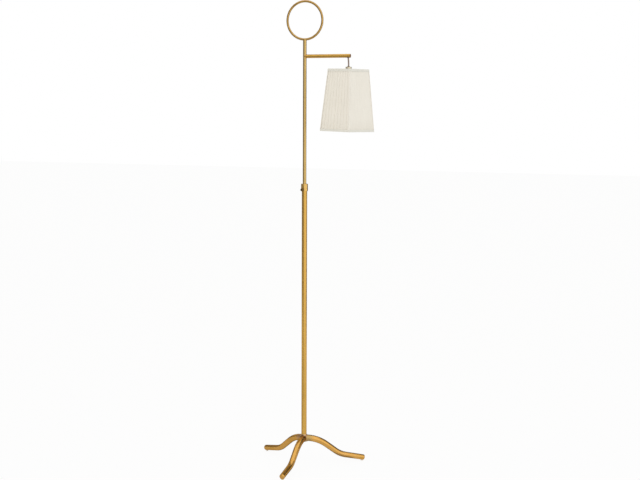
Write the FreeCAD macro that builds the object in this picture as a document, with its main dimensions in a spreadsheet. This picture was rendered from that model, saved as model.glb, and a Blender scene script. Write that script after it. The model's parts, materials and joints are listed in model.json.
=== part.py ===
import FreeCAD, Part
import math
import os
import re
import Sketcher

# Floor lamp with a telescopic mast, a ring finial and a square pleated shade hung on a short cord.
# Origin on the floor under the mast's axis, +Z up, +X along the arm.

Vector = FreeCAD.Vector
Rotation = FreeCAD.Rotation
Placement = FreeCAD.Placement

SIZES = {
    # Legs
    "leg_turn_angle": 32.7,
    "leg_count": 3,
    "leg_hub_dia": 23.4,
    "leg_foot_dia": 19.5,
    "leg_crown_radius": 138.6,
    "leg_slope_angle": 36.7,
    "leg_shin_length": 44.8,
    "leg_heel_radius": 92.0,
    "leg_toe_slope_angle": 10.9,
    "leg_toe_length": 72.2,
    "leg_tip_rounding": 5.0,
    "pad_dia": 9.0,
    "pad_thickness": 1.2,
    "pad_setback": 9.5,
    # Hub and the parts that hold the lower tube in it
    "hub_dia": 24.2,
    "hub_rise": 3.0,
    "hub_floor_thickness": 4.0,
    "hub_weld_gap": 0.1,
    "hub_lip": 1.0,
    "hub_chamfer": 1.0,
    "nipple_dia": 10.0,
    "nipple_bore": 7.6,
    "hub_nipple_length": 22.0,
    "insert_length": 15.0,
    "hub_recess_dia": 19.0,
    "washer_clearance": 0.5,
    "washer_thickness": 1.0,
    "hub_nut_across": 14.0,
    "hub_nut_height": 3.0,
    "lead_bush_bore": 5.8,
    "lead_bush_flange": 12.0,
    "lead_bush_flange_height": 2.0,
    "lead_bush_sleeve": 6.0,
    # Mast
    "lower_tube_dia": 19.0,
    "lower_tube_wall": 1.5,
    "lower_tube_top": 1001.4,
    "collar_dia": 24.4,
    "collar_height": 25.5,
    "collar_spigot": 20.0,
    "collar_rounding": 0.8,
    "upper_tube_dia": 12.7,
    "upper_tube_wall": 1.2,
    "mast_overlap": 130.4,
    "slide_clearance": 0.08,
    "seat_clearance": 0.05,
    "guide_bush_wall": 1.45,
    "guide_bush_height": 60.0,
    "guide_bush_flange": 2.0,
    "bush_end_land": 3.0,
    "joint_gap": 0.3,
    # Finial and arm
    "ring_centre_height": 1606.0,
    "ring_pitch_dia": 133.5,
    "ring_rod_dia": 8.0,
    "ring_spigot_length": 14.0,
    "arm_below_ring": 59.25,
    "arm_reach": 173.0,
    "arm_mast_hole": 10.0,
    "arm_plug_recess": 0.8,
    "arm_plug_depth": 2.4,
    "outlet_setback": 8.3,
    "outlet_drop": 4.8,
    "outlet_bush_dia": 9.4,
    "outlet_bush_below": 0.6,
    "outlet_bush_throat": 0.3,
    "outlet_mouth_angle": 27.0,
    "lead_dia": 5.3,
    "lead_gap": 0.15,
    "lead_elbow_radius": 10.0,
    "lead_outlet_radius": 6.0,
    # Thumbscrew
    "screw_direction_angle": -95.0,
    "screw_rise": 5.3,
    "screw_thread_dia": 5.0,
    "screw_head_dia": 11.0,
    "screw_head_start": 14.4,
    "screw_head_length": 8.0,
    "screw_head_rounding": 1.2,
    "pressure_pad_length": 2.6,
    # Pendant: how the shade hangs from the cord's lower end
    "pendant_lean_angle": 1.2,
    "pendant_turn_angle": -20.5,
    "cap_dia": 21.0,
    "cap_drop": 0.5,
    "cap_height": 7.5,
    "cap_rounding": 1.6,
    "cap_web": 3.6,
    "cord_bush_sleeve_dia": 8.0,
    "cord_bush_flange_dia": 9.6,
    "cord_bush_flange": 1.7,
    "cord_bush_depth": 3.3,
    "grip_screw_dia": 3.0,
    "grip_screw_length": 6.6,
    "grip_screw_turn_angle": 40.0,
    "pendant_nipple_length": 20.0,
    "lock_nut_across": 14.0,
    "lock_nut_height": 3.0,
    # Shade
    "shade_top_side": 103.4,
    "shade_bottom_side": 136.8,
    "shade_height": 218.0,
    "pleats_per_side": 9,
    "pleat_depth": 1.0,
    "pleat_lean_share": 0.16,
    "cover_base": 0.5,
    "liner_gap": 0.3,
    "liner_thickness": 0.8,
    "trim_thickness": 0.7,
    "top_trim_height": 9.0,
    "bottom_trim_height": 8.0,
    "corner_tape_width": 4.0,
    "wire_dia": 2.4,
    "wire_bend": 5.0,
    "rim_wire_drop": 2.0,
    "spider_washer_dia": 32.0,
    "spider_washer_thickness": 1.5,
    "spider_arm_width": 5.0,
    # Lamp holder and bulb
    "socket_cap_drop": 14.0,
    "socket_neck_dia": 15.0,
    "socket_neck_height": 7.0,
    "socket_dome_height": 11.0,
    "socket_shell_dia": 33.0,
    "socket_shell_wall": 0.6,
    "socket_shell_height": 54.0,
    "socket_skirt": 4.0,
    "socket_liner_wall": 0.8,
    "socket_fit": 0.1,
    "switch_body_height": 20.0,
    "switch_slot_width": 6.0,
    "switch_axis_drop": 10.0,
    "switch_shaft_dia": 4.0,
    "switch_knob_dia": 10.0,
    "switch_knob_length": 13.0,
    "switch_knob_gap": 1.0,
    "switch_knob_flat": 3.0,
    "switch_turn_angle": 90.0,
    "screw_shell_dia": 27.6,
    "screw_shell_wall": 0.5,
    "screw_shell_height": 26.0,
    "contact_dia": 8.0,
    "contact_height": 2.0,
    "bulb_cap_dia": 26.0,
    "bulb_cap_height": 26.0,
    "bulb_cap_wall": 1.0,
    "bulb_tip_dia": 9.0,
    "bulb_tip_height": 2.0,
    "bulb_neck_dia": 27.0,
    "bulb_dia": 60.0,
    "bulb_glass_length": 82.0,
    "bulb_glass_wall": 1.2,
    # Working allowance for cuts that run past a face
    "overrun": 1.0,
}

# The shade has four sides, each a quarter turn from the next
SIDES = 4
QUARTER = 90

# Shares of a form that follow its own sizes
HUB_BLEND_SHARE = 0.55
HUB_LIP_SHARE = 0.15
SOCKET_DOME_SHARE = 0.33
KNOB_GRIP_COUNT = 18
HEX_HALF_ANGLE = 30.0
KNOB_GROOVE_SHARE = 0.06
BULB_SHOULDER_SHARE = 0.8
NUT_CROWN_SHARE = 0.92

# Free cord from the arm's outlet to the shade's cap: places in the arm's plane, in millimetres
# from the outlet's throat
CORD_ROUTE = [
    (0.0, 0.0),
    (0.75, -7.6),
    (1.4, -15.6),
    (1.8, -24.4),
    (1.7, -33.1),
]
CORD_ARC_SHARE = 0.45

# How closely a found edge and a swept volume must match what is asked for
EDGE_MATCH = 0.0001
VOLUME_MATCH_SHARE = 0.001

doc = FreeCAD.newDocument("floor_lamp")
sheet = doc.addObject("Spreadsheet::Sheet", "Sizes")


def fill_sheet():
    """Writes each driving size into its own cell, under its name."""
    for row, (alias, number) in enumerate(SIZES.items(), start=1):
        sheet.set(f"A{row}", alias)
        sheet.set(f"B{row}", str(number))
        sheet.setAlias(f"B{row}", alias)
    doc.recompute()


class Value:
    """A number worked out from the sheet's sizes, together with the expression that gives it."""

    def __init__(self, number, text):
        self.number = float(number)
        self.text = text

    @staticmethod
    def of(other):
        """Takes a plain number as a value."""
        return other if isinstance(other, Value) else Value(other, repr(float(other)))

    def joined(self, other, sign, number):
        """This value and another under one sign."""
        return Value(number, f"({self.text} {sign} {other.text})")

    def __add__(self, other):
        other = Value.of(other)
        return self.joined(other, "+", self.number + other.number)

    def __sub__(self, other):
        other = Value.of(other)
        return self.joined(other, "-", self.number - other.number)

    def __mul__(self, other):
        other = Value.of(other)
        return self.joined(other, "*", self.number * other.number)

    def __truediv__(self, other):
        other = Value.of(other)
        return self.joined(other, "/", self.number / other.number)

    def __radd__(self, other):
        return Value.of(other) + self

    def __rsub__(self, other):
        return Value.of(other) - self

    def __rmul__(self, other):
        return Value.of(other) * self

    def __neg__(self):
        return Value(-self.number, f"(0 - {self.text})")


def size(alias):
    """A driving size, read from the sheet."""
    return Value(sheet.get(alias), f"Sizes.{alias}")


def sine(angle):
    """The sine of an angle in degrees."""
    return Value(math.sin(math.radians(angle.number)), f"sin({angle.text} * 1 deg)")


def cosine(angle):
    """The cosine of an angle in degrees."""
    return Value(math.cos(math.radians(angle.number)), f"cos({angle.text} * 1 deg)")


def tangent(angle):
    """The tangent of an angle in degrees."""
    return Value(math.tan(math.radians(angle.number)), f"tan({angle.text} * 1 deg)")


def root(value):
    """The square root of a value."""
    return Value(math.sqrt(value.number), f"sqrt({value.text})")


ZERO = Value(0.0, "0")


def bind(item, prop, value):
    """Ties a property to a value of the sheet."""
    item.setExpression(prop, Value.of(value).text)


def new_body(label):
    """Starts a body under its label."""
    body = doc.addObject("PartDesign::Body", label)
    body.Label = label
    return body


def sketch_on(body, name, role):
    """Starts a sketch on one of the body's own origin planes."""
    sketch = body.newObject("Sketcher::SketchObject", name)
    plane = [item for item in body.Origin.OriginFeatures if item.Role == role][0]
    sketch.AttachmentSupport = [(plane, "")]
    sketch.MapMode = "FlatFace"
    return sketch


def hold(sketch, kind, geometry, point, value):
    """Holds one of a point's two distances from the sketch's origin."""
    index = sketch.addConstraint(Sketcher.Constraint(kind, -1, 1, geometry, point, value.number))
    sketch.setExpression(f"Constraints[{index}]", value.text)


def pin(sketch, geometry, point, across, up):
    """Holds a point of the sketch at both its distances from the origin."""
    hold(sketch, "DistanceX", geometry, point, across)
    hold(sketch, "DistanceY", geometry, point, up)


def outline(sketch, points):
    """Draws a closed outline through points, each a pair of values."""
    points = [(Value.of(across), Value.of(up)) for across, up in points]
    first = sketch.GeometryCount
    count = len(points)
    spots = [Vector(across.number, up.number, 0) for across, up in points]
    for index in range(count):
        sketch.addGeometry(Part.LineSegment(spots[index], spots[(index + 1) % count]))
    for index in range(count):
        following = first + (index + 1) % count
        sketch.addConstraint(Sketcher.Constraint("Coincident", first + index, 2, following, 1))
    for index, (across, up) in enumerate(points):
        pin(sketch, first + index, 1, across, up)


def circle(sketch, across, up, radius):
    """Draws a circle whose centre and radius follow the sheet."""
    across, up, radius = Value.of(across), Value.of(up), Value.of(radius)
    centre = Vector(across.number, up.number, 0)
    geometry = sketch.addGeometry(Part.Circle(centre, Vector(0, 0, 1), radius.number))
    pin(sketch, geometry, 3, across, up)
    index = sketch.addConstraint(Sketcher.Constraint("Radius", geometry, radius.number))
    sketch.setExpression(f"Constraints[{index}]", radius.text)


def turned(label, profile):
    """Turns a profile of radius and height pairs about the body's vertical axis."""
    body = new_body(label)
    sketch = sketch_on(body, label + "_profile", "XZ_Plane")
    outline(sketch, profile)
    turn = body.newObject("PartDesign::Revolution", label + "_turn")
    turn.Profile = sketch
    turn.ReferenceAxis = (sketch, ["V_Axis"])
    turn.Angle = 360
    doc.recompute()
    return body


def cut_circles(body, name, role, circles, depth, both_ways=False, away=False, start=None):
    """Bores straight holes through a body, from one of its origin planes or from a level over it."""
    before = body.Shape.Volume
    sketch = sketch_on(body, name + "_circles", role)
    if start is not None:
        sketch.AttachmentOffset = Placement(Vector(0, 0, start.number), Rotation())
        bind(sketch, "AttachmentOffset.Base.z", start)
    for across, up, radius in circles:
        circle(sketch, across, up, radius)
    pocket = body.newObject("PartDesign::Pocket", name)
    pocket.Profile = sketch
    bind(pocket, "Length", depth)
    pocket.Midplane = both_ways
    pocket.Reversed = away
    doc.recompute()
    assert body.Shape.Volume < before, f"{name} cuts nothing"


def edges_at(shape, height, radius):
    """Names the circular edges of a turned shape at a height and radius."""
    names = []
    for index, edge in enumerate(shape.Edges, start=1):
        curve = edge.Curve
        if not isinstance(curve, Part.Circle):
            continue
        same_height = abs(curve.Center.z - height.number) < EDGE_MATCH
        if same_height and abs(curve.Radius - radius.number) < EDGE_MATCH:
            names.append(f"Edge{index}")
    return names


def round_edges(body, name, names, radius):
    """Rounds the named edges of a body's latest feature."""
    sharp = body.Tip
    fillet = body.newObject("PartDesign::Fillet", name)
    fillet.Base = (sharp, names)
    bind(fillet, "Radius", radius)
    doc.recompute()


def place(item, base, rotation):
    """Puts an object in its place."""
    item.Placement = Placement(base, rotation)
    return item


def feature(label, shape):
    """Holds a shape that part of this source works out itself."""
    item = doc.addObject("Part::Feature", label)
    item.Label = label
    item.Shape = shape
    return item


def cylinder(name, radius, height, base, rotation=Rotation()):
    """A plain cylinder that follows the sheet, used as a blank or as a cutter."""
    item = doc.addObject("Part::Cylinder", name)
    bind(item, "Radius", radius)
    bind(item, "Height", height)
    return place(item, base, rotation)


def cut(label, base, tool):
    """Takes one object away from another."""
    item = doc.addObject("Part::Cut", label)
    item.Label = label
    item.Base = base
    item.Tool = tool
    doc.recompute()
    return item


def fuse(label, base, tool):
    """Joins two objects into one."""
    item = doc.addObject("Part::Fuse", label)
    item.Label = label
    item.Base = base
    item.Tool = tool
    doc.recompute()
    return item


fill_sheet()
overrun = size("overrun")
turn_to_y = Rotation(Vector(1, 0, 0), 90)

# Legs: an S-shaped round bar that tapers to its foot, three times round the hub
leg_hub_radius = size("leg_hub_dia") / 2
leg_foot_radius = size("leg_foot_dia") / 2
slope = size("leg_slope_angle")
toe_slope = size("leg_toe_slope_angle")
crown_radius = size("leg_crown_radius")
shin_length = size("leg_shin_length")
heel_radius = size("leg_heel_radius")
toe_length = size("leg_toe_length")
toe_tip_height = size("pad_thickness") + leg_foot_radius * cosine(toe_slope)
leg_drop = crown_radius * (1 - cosine(slope)) + shin_length * sine(slope) \
    + heel_radius * (cosine(toe_slope) - cosine(slope)) + toe_length * sine(toe_slope)
hub_axis_height = toe_tip_height + leg_drop
crown_end = (crown_radius * sine(slope), hub_axis_height - crown_radius * (1 - cosine(slope)))
shin_end = (crown_end[0] + shin_length * cosine(slope), crown_end[1] - shin_length * sine(slope))
heel_centre = (shin_end[0] + heel_radius * sine(slope), shin_end[1] + heel_radius * cosine(slope))
heel_end = (heel_centre[0] - heel_radius * sine(toe_slope),
            heel_centre[1] - heel_radius * cosine(toe_slope))
toe_end = (heel_end[0] + toe_length * cosine(toe_slope), heel_end[1] - toe_length * sine(toe_slope))
hub_radius = size("hub_dia") / 2


def leg_path(body, label):
    """Draws the leg's centre line: crown arc, straight shin, heel arc and straight toe."""
    sketch = sketch_on(body, label + "_path", "XZ_Plane")
    normal = Vector(0, 0, 1)
    lean = math.radians(slope.number)
    toe_lean = math.radians(toe_slope.number)
    crown_centre = Vector(0, hub_axis_height.number - crown_radius.number, 0)
    heel_middle = Vector(heel_centre[0].number, heel_centre[1].number, 0)
    spots = [Vector(across.number, up.number, 0) for across, up in (crown_end, shin_end, heel_end, toe_end)]
    crown_circle = Part.Circle(crown_centre, normal, crown_radius.number)
    heel_circle = Part.Circle(heel_middle, normal, heel_radius.number)
    crown = sketch.addGeometry(Part.ArcOfCircle(crown_circle, math.pi / 2 - lean, math.pi / 2))
    shin = sketch.addGeometry(Part.LineSegment(spots[0], spots[1]))
    down = 1.5 * math.pi
    heel = sketch.addGeometry(Part.ArcOfCircle(heel_circle, down - lean, down - toe_lean))
    toe = sketch.addGeometry(Part.LineSegment(spots[2], spots[3]))
    sketch.addConstraint(Sketcher.Constraint("Coincident", crown, 1, shin, 1))
    sketch.addConstraint(Sketcher.Constraint("Coincident", shin, 2, heel, 1))
    sketch.addConstraint(Sketcher.Constraint("Coincident", heel, 2, toe, 1))
    pin(sketch, crown, 3, ZERO, hub_axis_height - crown_radius)
    pin(sketch, crown, 2, ZERO, hub_axis_height)
    hold(sketch, "DistanceX", crown, 1, crown_end[0])
    pin(sketch, heel, 3, *heel_centre)
    pin(sketch, shin, 2, *shin_end)
    hold(sketch, "DistanceX", toe, 1, heel_end[0])
    pin(sketch, toe, 2, *toe_end)
    return sketch


def make_leg(label, direction):
    """Sweeps one leg and fits its inner end against the hub and its neighbours."""
    body = new_body(label)
    path = leg_path(body, label)
    root_section = sketch_on(body, label + "_root", "YZ_Plane")
    circle(root_section, ZERO, hub_axis_height, leg_hub_radius)
    tip_section = sketch_on(body, label + "_tip", "YZ_Plane")
    tip_section.AttachmentOffset = Placement(Vector(0, toe_end[1].number, toe_end[0].number),
                                             Rotation(Vector(1, 0, 0), toe_slope.number))
    bind(tip_section, "AttachmentOffset.Base.y", toe_end[1])
    bind(tip_section, "AttachmentOffset.Base.z", toe_end[0])
    bind(tip_section, "AttachmentOffset.Rotation.Angle", toe_slope)
    circle(tip_section, ZERO, ZERO, leg_foot_radius)
    doc.recompute()
    sweep = body.newObject("PartDesign::AdditivePipe", label + "_sweep")
    sweep.Profile = root_section
    sweep.Spine = (path, [f"Edge{number}" for number in range(1, 5)])
    sweep.Sections = [(tip_section, [""])]
    sweep.Transformation = "Multisection"
    doc.recompute()
    tip = Vector(toe_end[0].number, 0, toe_end[1].number)
    distances = [edge.BoundBox.Center.distanceToPoint(tip) for edge in sweep.Shape.Edges]
    round_edges(body, label + "_rounding", [f"Edge{distances.index(min(distances)) + 1}"],
                size("leg_tip_rounding"))
    cut_circles(body, label + "_saddle", "XY_Plane", [(ZERO, ZERO, hub_radius + size("hub_weld_gap"))],
                2 * (hub_axis_height + leg_hub_radius + overrun), both_ways=True)
    before = body.Shape.Volume
    mitre = sketch_on(body, label + "_mitre", "XY_Plane")
    reach = leg_hub_radius * 2
    side = reach * tangent(Value.of(180.0 / SIZES["leg_count"]))
    outline(mitre, [(ZERO, ZERO), (reach, side), (-reach, side), (-reach, -side), (reach, -side)])
    trim = body.newObject("PartDesign::Pocket", label + "_trim")
    trim.Profile = mitre
    bind(trim, "Length", 2 * (hub_axis_height + leg_hub_radius + overrun))
    trim.Midplane = True
    doc.recompute()
    assert body.Shape.Volume < before, "the mitre cuts nothing"
    return place(body, Vector(), Rotation(Vector(0, 0, 1), direction))


def make_foot_pad(label, direction):
    """A soft pad under a leg's tip, hollowed to the toe's round."""
    setback = size("pad_setback")
    along = toe_end[0] - setback * cosine(toe_slope)
    blank = cylinder(label + "_blank", size("pad_dia") / 2, toe_tip_height, Vector(along.number, 0, 0))
    tilt = Rotation(Vector(0, 1, 0), 90 + toe_slope.number)
    back = Vector(-toe_length.number, 0, 0)
    start = Vector(toe_end[0].number, 0, toe_end[1].number) + Rotation(
        Vector(0, 1, 0), toe_slope.number).multVec(back)
    arcs = (crown_radius * slope + heel_radius * (slope - toe_slope)) * (math.pi / 180)
    taper = (leg_hub_radius - leg_foot_radius) * toe_length / (toe_length + shin_length + arcs)
    toe_form = doc.addObject("Part::Cone", label + "_toe")
    bind(toe_form, "Radius1", leg_foot_radius + taper + size("seat_clearance"))
    bind(toe_form, "Radius2", leg_foot_radius + size("seat_clearance"))
    bind(toe_form, "Height", toe_length)
    place(toe_form, start, tilt)
    pad = cut(label, blank, toe_form)
    return place(pad, Vector(), Rotation(Vector(0, 0, 1), direction))


leg_names = ["right", "left", "front"]
legs = []
for number, name in enumerate(leg_names):
    direction = size("leg_turn_angle").number + number * 360.0 / SIZES["leg_count"]
    legs.append(make_leg("leg_" + name, direction))
    legs.append(make_foot_pad("foot_pad_" + name, direction))

# Hub: a turned core that the legs are welded to, with the lower tube standing in it and a recess
# underneath for the nut that holds the tube
hub_bottom = hub_axis_height - leg_hub_radius - size("hub_lip")
hub_top = hub_axis_height + leg_hub_radius + size("hub_rise")
hub_recess_top = hub_bottom + size("lead_bush_flange_height") + size("hub_nut_height") \
    + size("washer_thickness")
hub_recess_radius = size("hub_recess_dia") / 2
hub_shoulder = hub_recess_top + size("hub_floor_thickness")
lower_tube_radius = size("lower_tube_dia") / 2
lower_tube_bore = lower_tube_radius - size("lower_tube_wall")
hub_bore = lower_tube_radius + size("seat_clearance")
nipple_radius = size("nipple_dia") / 2
nipple_hole = nipple_radius + size("seat_clearance")
hub_chamfer = size("hub_chamfer")
hub_blend = hub_axis_height + leg_hub_radius * HUB_BLEND_SHARE
hub_lip_radius = hub_bore + (hub_radius - hub_bore) * HUB_LIP_SHARE
hub = turned("hub", [
    (nipple_hole, hub_recess_top),
    (hub_recess_radius, hub_recess_top),
    (hub_recess_radius, hub_bottom),
    (hub_radius - hub_chamfer, hub_bottom),
    (hub_radius, hub_bottom + hub_chamfer),
    (hub_radius, hub_blend),
    (hub_lip_radius, hub_top),
    (hub_bore, hub_top),
    (hub_bore, hub_shoulder),
    (nipple_hole, hub_shoulder),
])


def tube(label, outer, inner, bottom, top):
    """A plain round tube about the mast's axis."""
    body = new_body(label)
    sketch = sketch_on(body, label + "_section", "XY_Plane")
    sketch.AttachmentOffset = Placement(Vector(0, 0, bottom.number), Rotation())
    bind(sketch, "AttachmentOffset.Base.z", bottom)
    circle(sketch, ZERO, ZERO, outer)
    circle(sketch, ZERO, ZERO, inner)
    pad = body.newObject("PartDesign::Pad", label + "_pad")
    pad.Profile = sketch
    bind(pad, "Length", top - bottom)
    doc.recompute()
    return body


lower_tube_top = size("lower_tube_top")
lower_tube = tube("lower_tube", lower_tube_radius, lower_tube_bore, hub_shoulder, lower_tube_top)
tube_insert = tube("tube_insert", lower_tube_bore - size("seat_clearance"), nipple_hole,
                   hub_shoulder, hub_shoulder + size("insert_length"))
nipple_bore = size("nipple_bore") / 2
washer_top = hub_recess_top
washer_bottom = washer_top - size("washer_thickness")
nut_bottom = washer_bottom - size("hub_nut_height")
hub_nipple_top = nut_bottom + size("hub_nipple_length")
hub_nipple = tube("hub_nipple", nipple_radius, nipple_bore, nut_bottom, hub_nipple_top)
hub_washer = tube("hub_washer", hub_recess_radius - size("washer_clearance"), nipple_hole,
                  washer_bottom, washer_top)


def hex_nut(label, across_flats, height, bottom, place_nut):
    """A hexagon nut on a nipple, its corners taken off by a turned blank."""
    blank = doc.addObject("Part::Prism", label + "_blank")
    blank.Polygon = 6
    corner_radius = across_flats / (2 * cosine(Value.of(HEX_HALF_ANGLE)))
    bind(blank, "Circumradius", corner_radius)
    bind(blank, "Height", height)
    bore = cylinder(label + "_bore", nipple_hole, height + 2 * overrun, Vector(0, 0, -overrun.number))
    nut = cut(label + "_bored", blank, bore)
    crown = doc.addObject("Part::Sphere", label + "_crown")
    bind(crown, "Radius", root(corner_radius * corner_radius * NUT_CROWN_SHARE + height * height / 4))
    place(crown, Vector(0, 0, height.number / 2), Rotation())
    item = doc.addObject("Part::Common", label)
    item.Label = label
    item.Base = nut
    item.Tool = crown
    doc.recompute()
    return place_nut(item, bottom)


def on_mast_axis(item, bottom):
    """Puts an object on the mast's axis, at a height."""
    return place(item, Vector(0, 0, bottom.number), Rotation())


hub_nut = hex_nut("hub_nut", size("hub_nut_across"), size("hub_nut_height"), nut_bottom, on_mast_axis)
bush_hole = size("lead_bush_bore") / 2
bush_sleeve = nipple_bore - size("seat_clearance")
bush_bottom = nut_bottom - size("lead_bush_flange_height")
lead_bush = turned("lead_bush", [
    (bush_hole, bush_bottom),
    (size("lead_bush_flange") / 2 - hub_chamfer, bush_bottom),
    (size("lead_bush_flange") / 2, bush_bottom + hub_chamfer),
    (size("lead_bush_flange") / 2, nut_bottom),
    (bush_sleeve, nut_bottom),
    (bush_sleeve, nut_bottom + size("lead_bush_sleeve")),
    (bush_hole, nut_bottom + size("lead_bush_sleeve")),
])

# Collar on the lower tube, with the thumbscrew's threaded hole
upper_tube_radius = size("upper_tube_dia") / 2
upper_tube_bore = upper_tube_radius - size("upper_tube_wall")
collar_radius = size("collar_dia") / 2
collar_top = lower_tube_top + size("collar_height")
collar_bore = upper_tube_radius + size("slide_clearance")
collar_spigot_end = lower_tube_top - size("collar_spigot")
collar_rounding = size("collar_rounding")
collar = turned("collar", [
    (collar_bore, collar_spigot_end),
    (lower_tube_bore - size("seat_clearance"), collar_spigot_end),
    (lower_tube_bore - size("seat_clearance"), lower_tube_top),
    (collar_radius, lower_tube_top),
    (collar_radius, collar_top),
    (collar_bore, collar_top),
])
collar_edges = edges_at(collar.Shape, collar_top, collar_radius) \
    + edges_at(collar.Shape, lower_tube_top, collar_radius)
round_edges(collar, "collar_rounding", collar_edges, collar_rounding)
thread_radius = size("screw_thread_dia") / 2
thread_hole = thread_radius + size("seat_clearance")
screw_height = lower_tube_top + size("screw_rise")
cut_circles(collar, "screw_hole", "YZ_Plane", [(ZERO, screw_height, thread_hole)],
            collar_radius + overrun, away=True)
screw_turn = Rotation(Vector(0, 0, 1), size("screw_direction_angle").number)
place(collar, Vector(), screw_turn)

# Thumbscrew and the soft pad that it presses on the mast
pad_start = collar_bore + size("joint_gap")
pad_end = pad_start + size("pressure_pad_length")
screw_tip = pad_end + size("seat_clearance")
head_start = size("screw_head_start")
head_end = head_start + size("screw_head_length")
head_radius = size("screw_head_dia") / 2
lie_outward = Rotation(Vector(0, 1, 0), 90)
outward = screw_turn.multiply(lie_outward)
screw_base = Vector(0, 0, screw_height.number)
pressure_pad = turned("pressure_pad", [
    (ZERO, pad_start),
    (thread_radius - size("seat_clearance"), pad_start),
    (thread_radius - size("seat_clearance"), pad_end),
    (ZERO, pad_end),
])
place(pressure_pad, screw_base, outward)
head_neck_radius = (thread_radius + head_radius) / 2
neck_end = head_start + size("screw_head_rounding")
thumbscrew = turned("thumbscrew", [
    (ZERO, screw_tip),
    (thread_radius, screw_tip),
    (thread_radius, head_start),
    (head_neck_radius, head_start),
    (head_neck_radius, neck_end),
    (head_radius, neck_end),
    (head_radius, head_end),
    (ZERO, head_end),
])
round_edges(thumbscrew, "head_rounding", edges_at(thumbscrew.Shape, head_end, head_radius),
            size("screw_head_rounding"))
knurl = sketch_on(thumbscrew, "knurl_groove", "XY_Plane")
knurl.AttachmentOffset = Placement(Vector(0, 0, neck_end.number), Rotation())
bind(knurl, "AttachmentOffset.Base.z", neck_end)
circle(knurl, head_radius, ZERO, head_radius * KNOB_GROOVE_SHARE)
groove = thumbscrew.newObject("PartDesign::Pocket", "knurl_cut")
groove.Profile = knurl
groove.Reversed = True
bind(groove, "Length", head_end - neck_end + overrun)
doc.recompute()
knurls = thumbscrew.newObject("PartDesign::PolarPattern", "knurls")
knurls.Originals = [groove]
knurls.Axis = (knurl, ["N_Axis"])
knurls.Angle = 360
knurls.Occurrences = KNOB_GRIP_COUNT
thumbscrew.Tip = knurls
doc.recompute()
place(thumbscrew, screw_base, outward)

# Mast: the upper tube with its guide bush, the coped ring finial and the arm
tube_end = lower_tube_top - size("mast_overlap")
bush_top = tube_end + size("guide_bush_height")
bush_outer = lower_tube_bore - size("slide_clearance")
bush_land = size("guide_bush_wall")
guide_bush = turned("guide_bush", [
    (upper_tube_bore, tube_end - size("guide_bush_flange")),
    (bush_outer, tube_end - size("guide_bush_flange")),
    (bush_outer, tube_end + size("bush_end_land")),
    (bush_outer - bush_land / 2, tube_end + size("bush_end_land")),
    (bush_outer - bush_land / 2, bush_top - size("bush_end_land")),
    (bush_outer, bush_top - size("bush_end_land")),
    (bush_outer, bush_top),
    (upper_tube_radius + size("slide_clearance"), bush_top),
    (upper_tube_radius + size("slide_clearance"), tube_end),
    (upper_tube_bore, tube_end),
])
ring_centre = size("ring_centre_height")
ring_radius = size("ring_pitch_dia") / 2
ring_rod = size("ring_rod_dia") / 2
ring_bottom = ring_centre - ring_radius
arm_height = ring_bottom - size("arm_below_ring")
mast_blank = tube("mast_blank", upper_tube_radius, upper_tube_bore,
                  tube_end + size("seat_clearance"), ring_bottom)
cut_circles(mast_blank, "arm_way", "YZ_Plane", [(ZERO, arm_height, size("arm_mast_hole") / 2)],
            upper_tube_radius + overrun, away=True)
ring_seat = doc.addObject("Part::Torus", "ring_seat")
bind(ring_seat, "Radius1", ring_radius)
bind(ring_seat, "Radius2", ring_rod + size("seat_clearance"))
place(ring_seat, Vector(0, 0, ring_centre.number), turn_to_y)
mast_tube = cut("mast_tube", mast_blank, ring_seat)
ring = doc.addObject("Part::Torus", "ring")
bind(ring, "Radius1", ring_radius)
bind(ring, "Radius2", ring_rod)
place(ring, Vector(0, 0, ring_centre.number), turn_to_y)
ring_spigot = cylinder("ring_spigot", upper_tube_bore - size("seat_clearance"), size("ring_spigot_length"),
                       Vector(0, 0, ring_bottom.number - size("ring_spigot_length").number))
ring_finial = fuse("ring_finial", ring, ring_spigot)

arm_end = size("arm_reach")
outlet_reach = arm_end - size("outlet_setback")
outlet_height = arm_height - size("outlet_drop")
pivot = Vector(outlet_reach.number, 0, outlet_height.number)
arm = new_body("arm_blank")
arm_section = sketch_on(arm, "arm_section", "YZ_Plane")
circle(arm_section, ZERO, arm_height, upper_tube_radius)
circle(arm_section, ZERO, arm_height, upper_tube_bore)
arm_pad = arm.newObject("PartDesign::Pad", "arm_pad")
arm_pad.Profile = arm_section
bind(arm_pad, "Length", arm_end)
doc.recompute()
outlet_radius = size("outlet_bush_dia") / 2
arm_bottom = arm_height - upper_tube_radius
outlet_hole = outlet_radius + size("seat_clearance")
cut_circles(arm, "outlet_hole", "XY_Plane", [(outlet_reach, ZERO, outlet_hole)],
            upper_tube_radius + overrun, start=arm_height)
mast_form = cylinder("mast_form", upper_tube_radius + size("seat_clearance"), 4 * upper_tube_radius,
                     Vector(0, 0, arm_height.number - 2 * upper_tube_radius.number))
arm_tube = cut("arm_tube", arm, mast_form)
plug_end = arm_end - size("arm_plug_recess")
arm_plug = turned("arm_end_plug", [
    (ZERO, plug_end - size("arm_plug_depth")),
    (upper_tube_bore - size("seat_clearance"), plug_end - size("arm_plug_depth")),
    (upper_tube_bore - size("seat_clearance"), plug_end),
    (ZERO, plug_end),
])
place(arm_plug, Vector(0, 0, arm_height.number), lie_outward)

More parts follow.
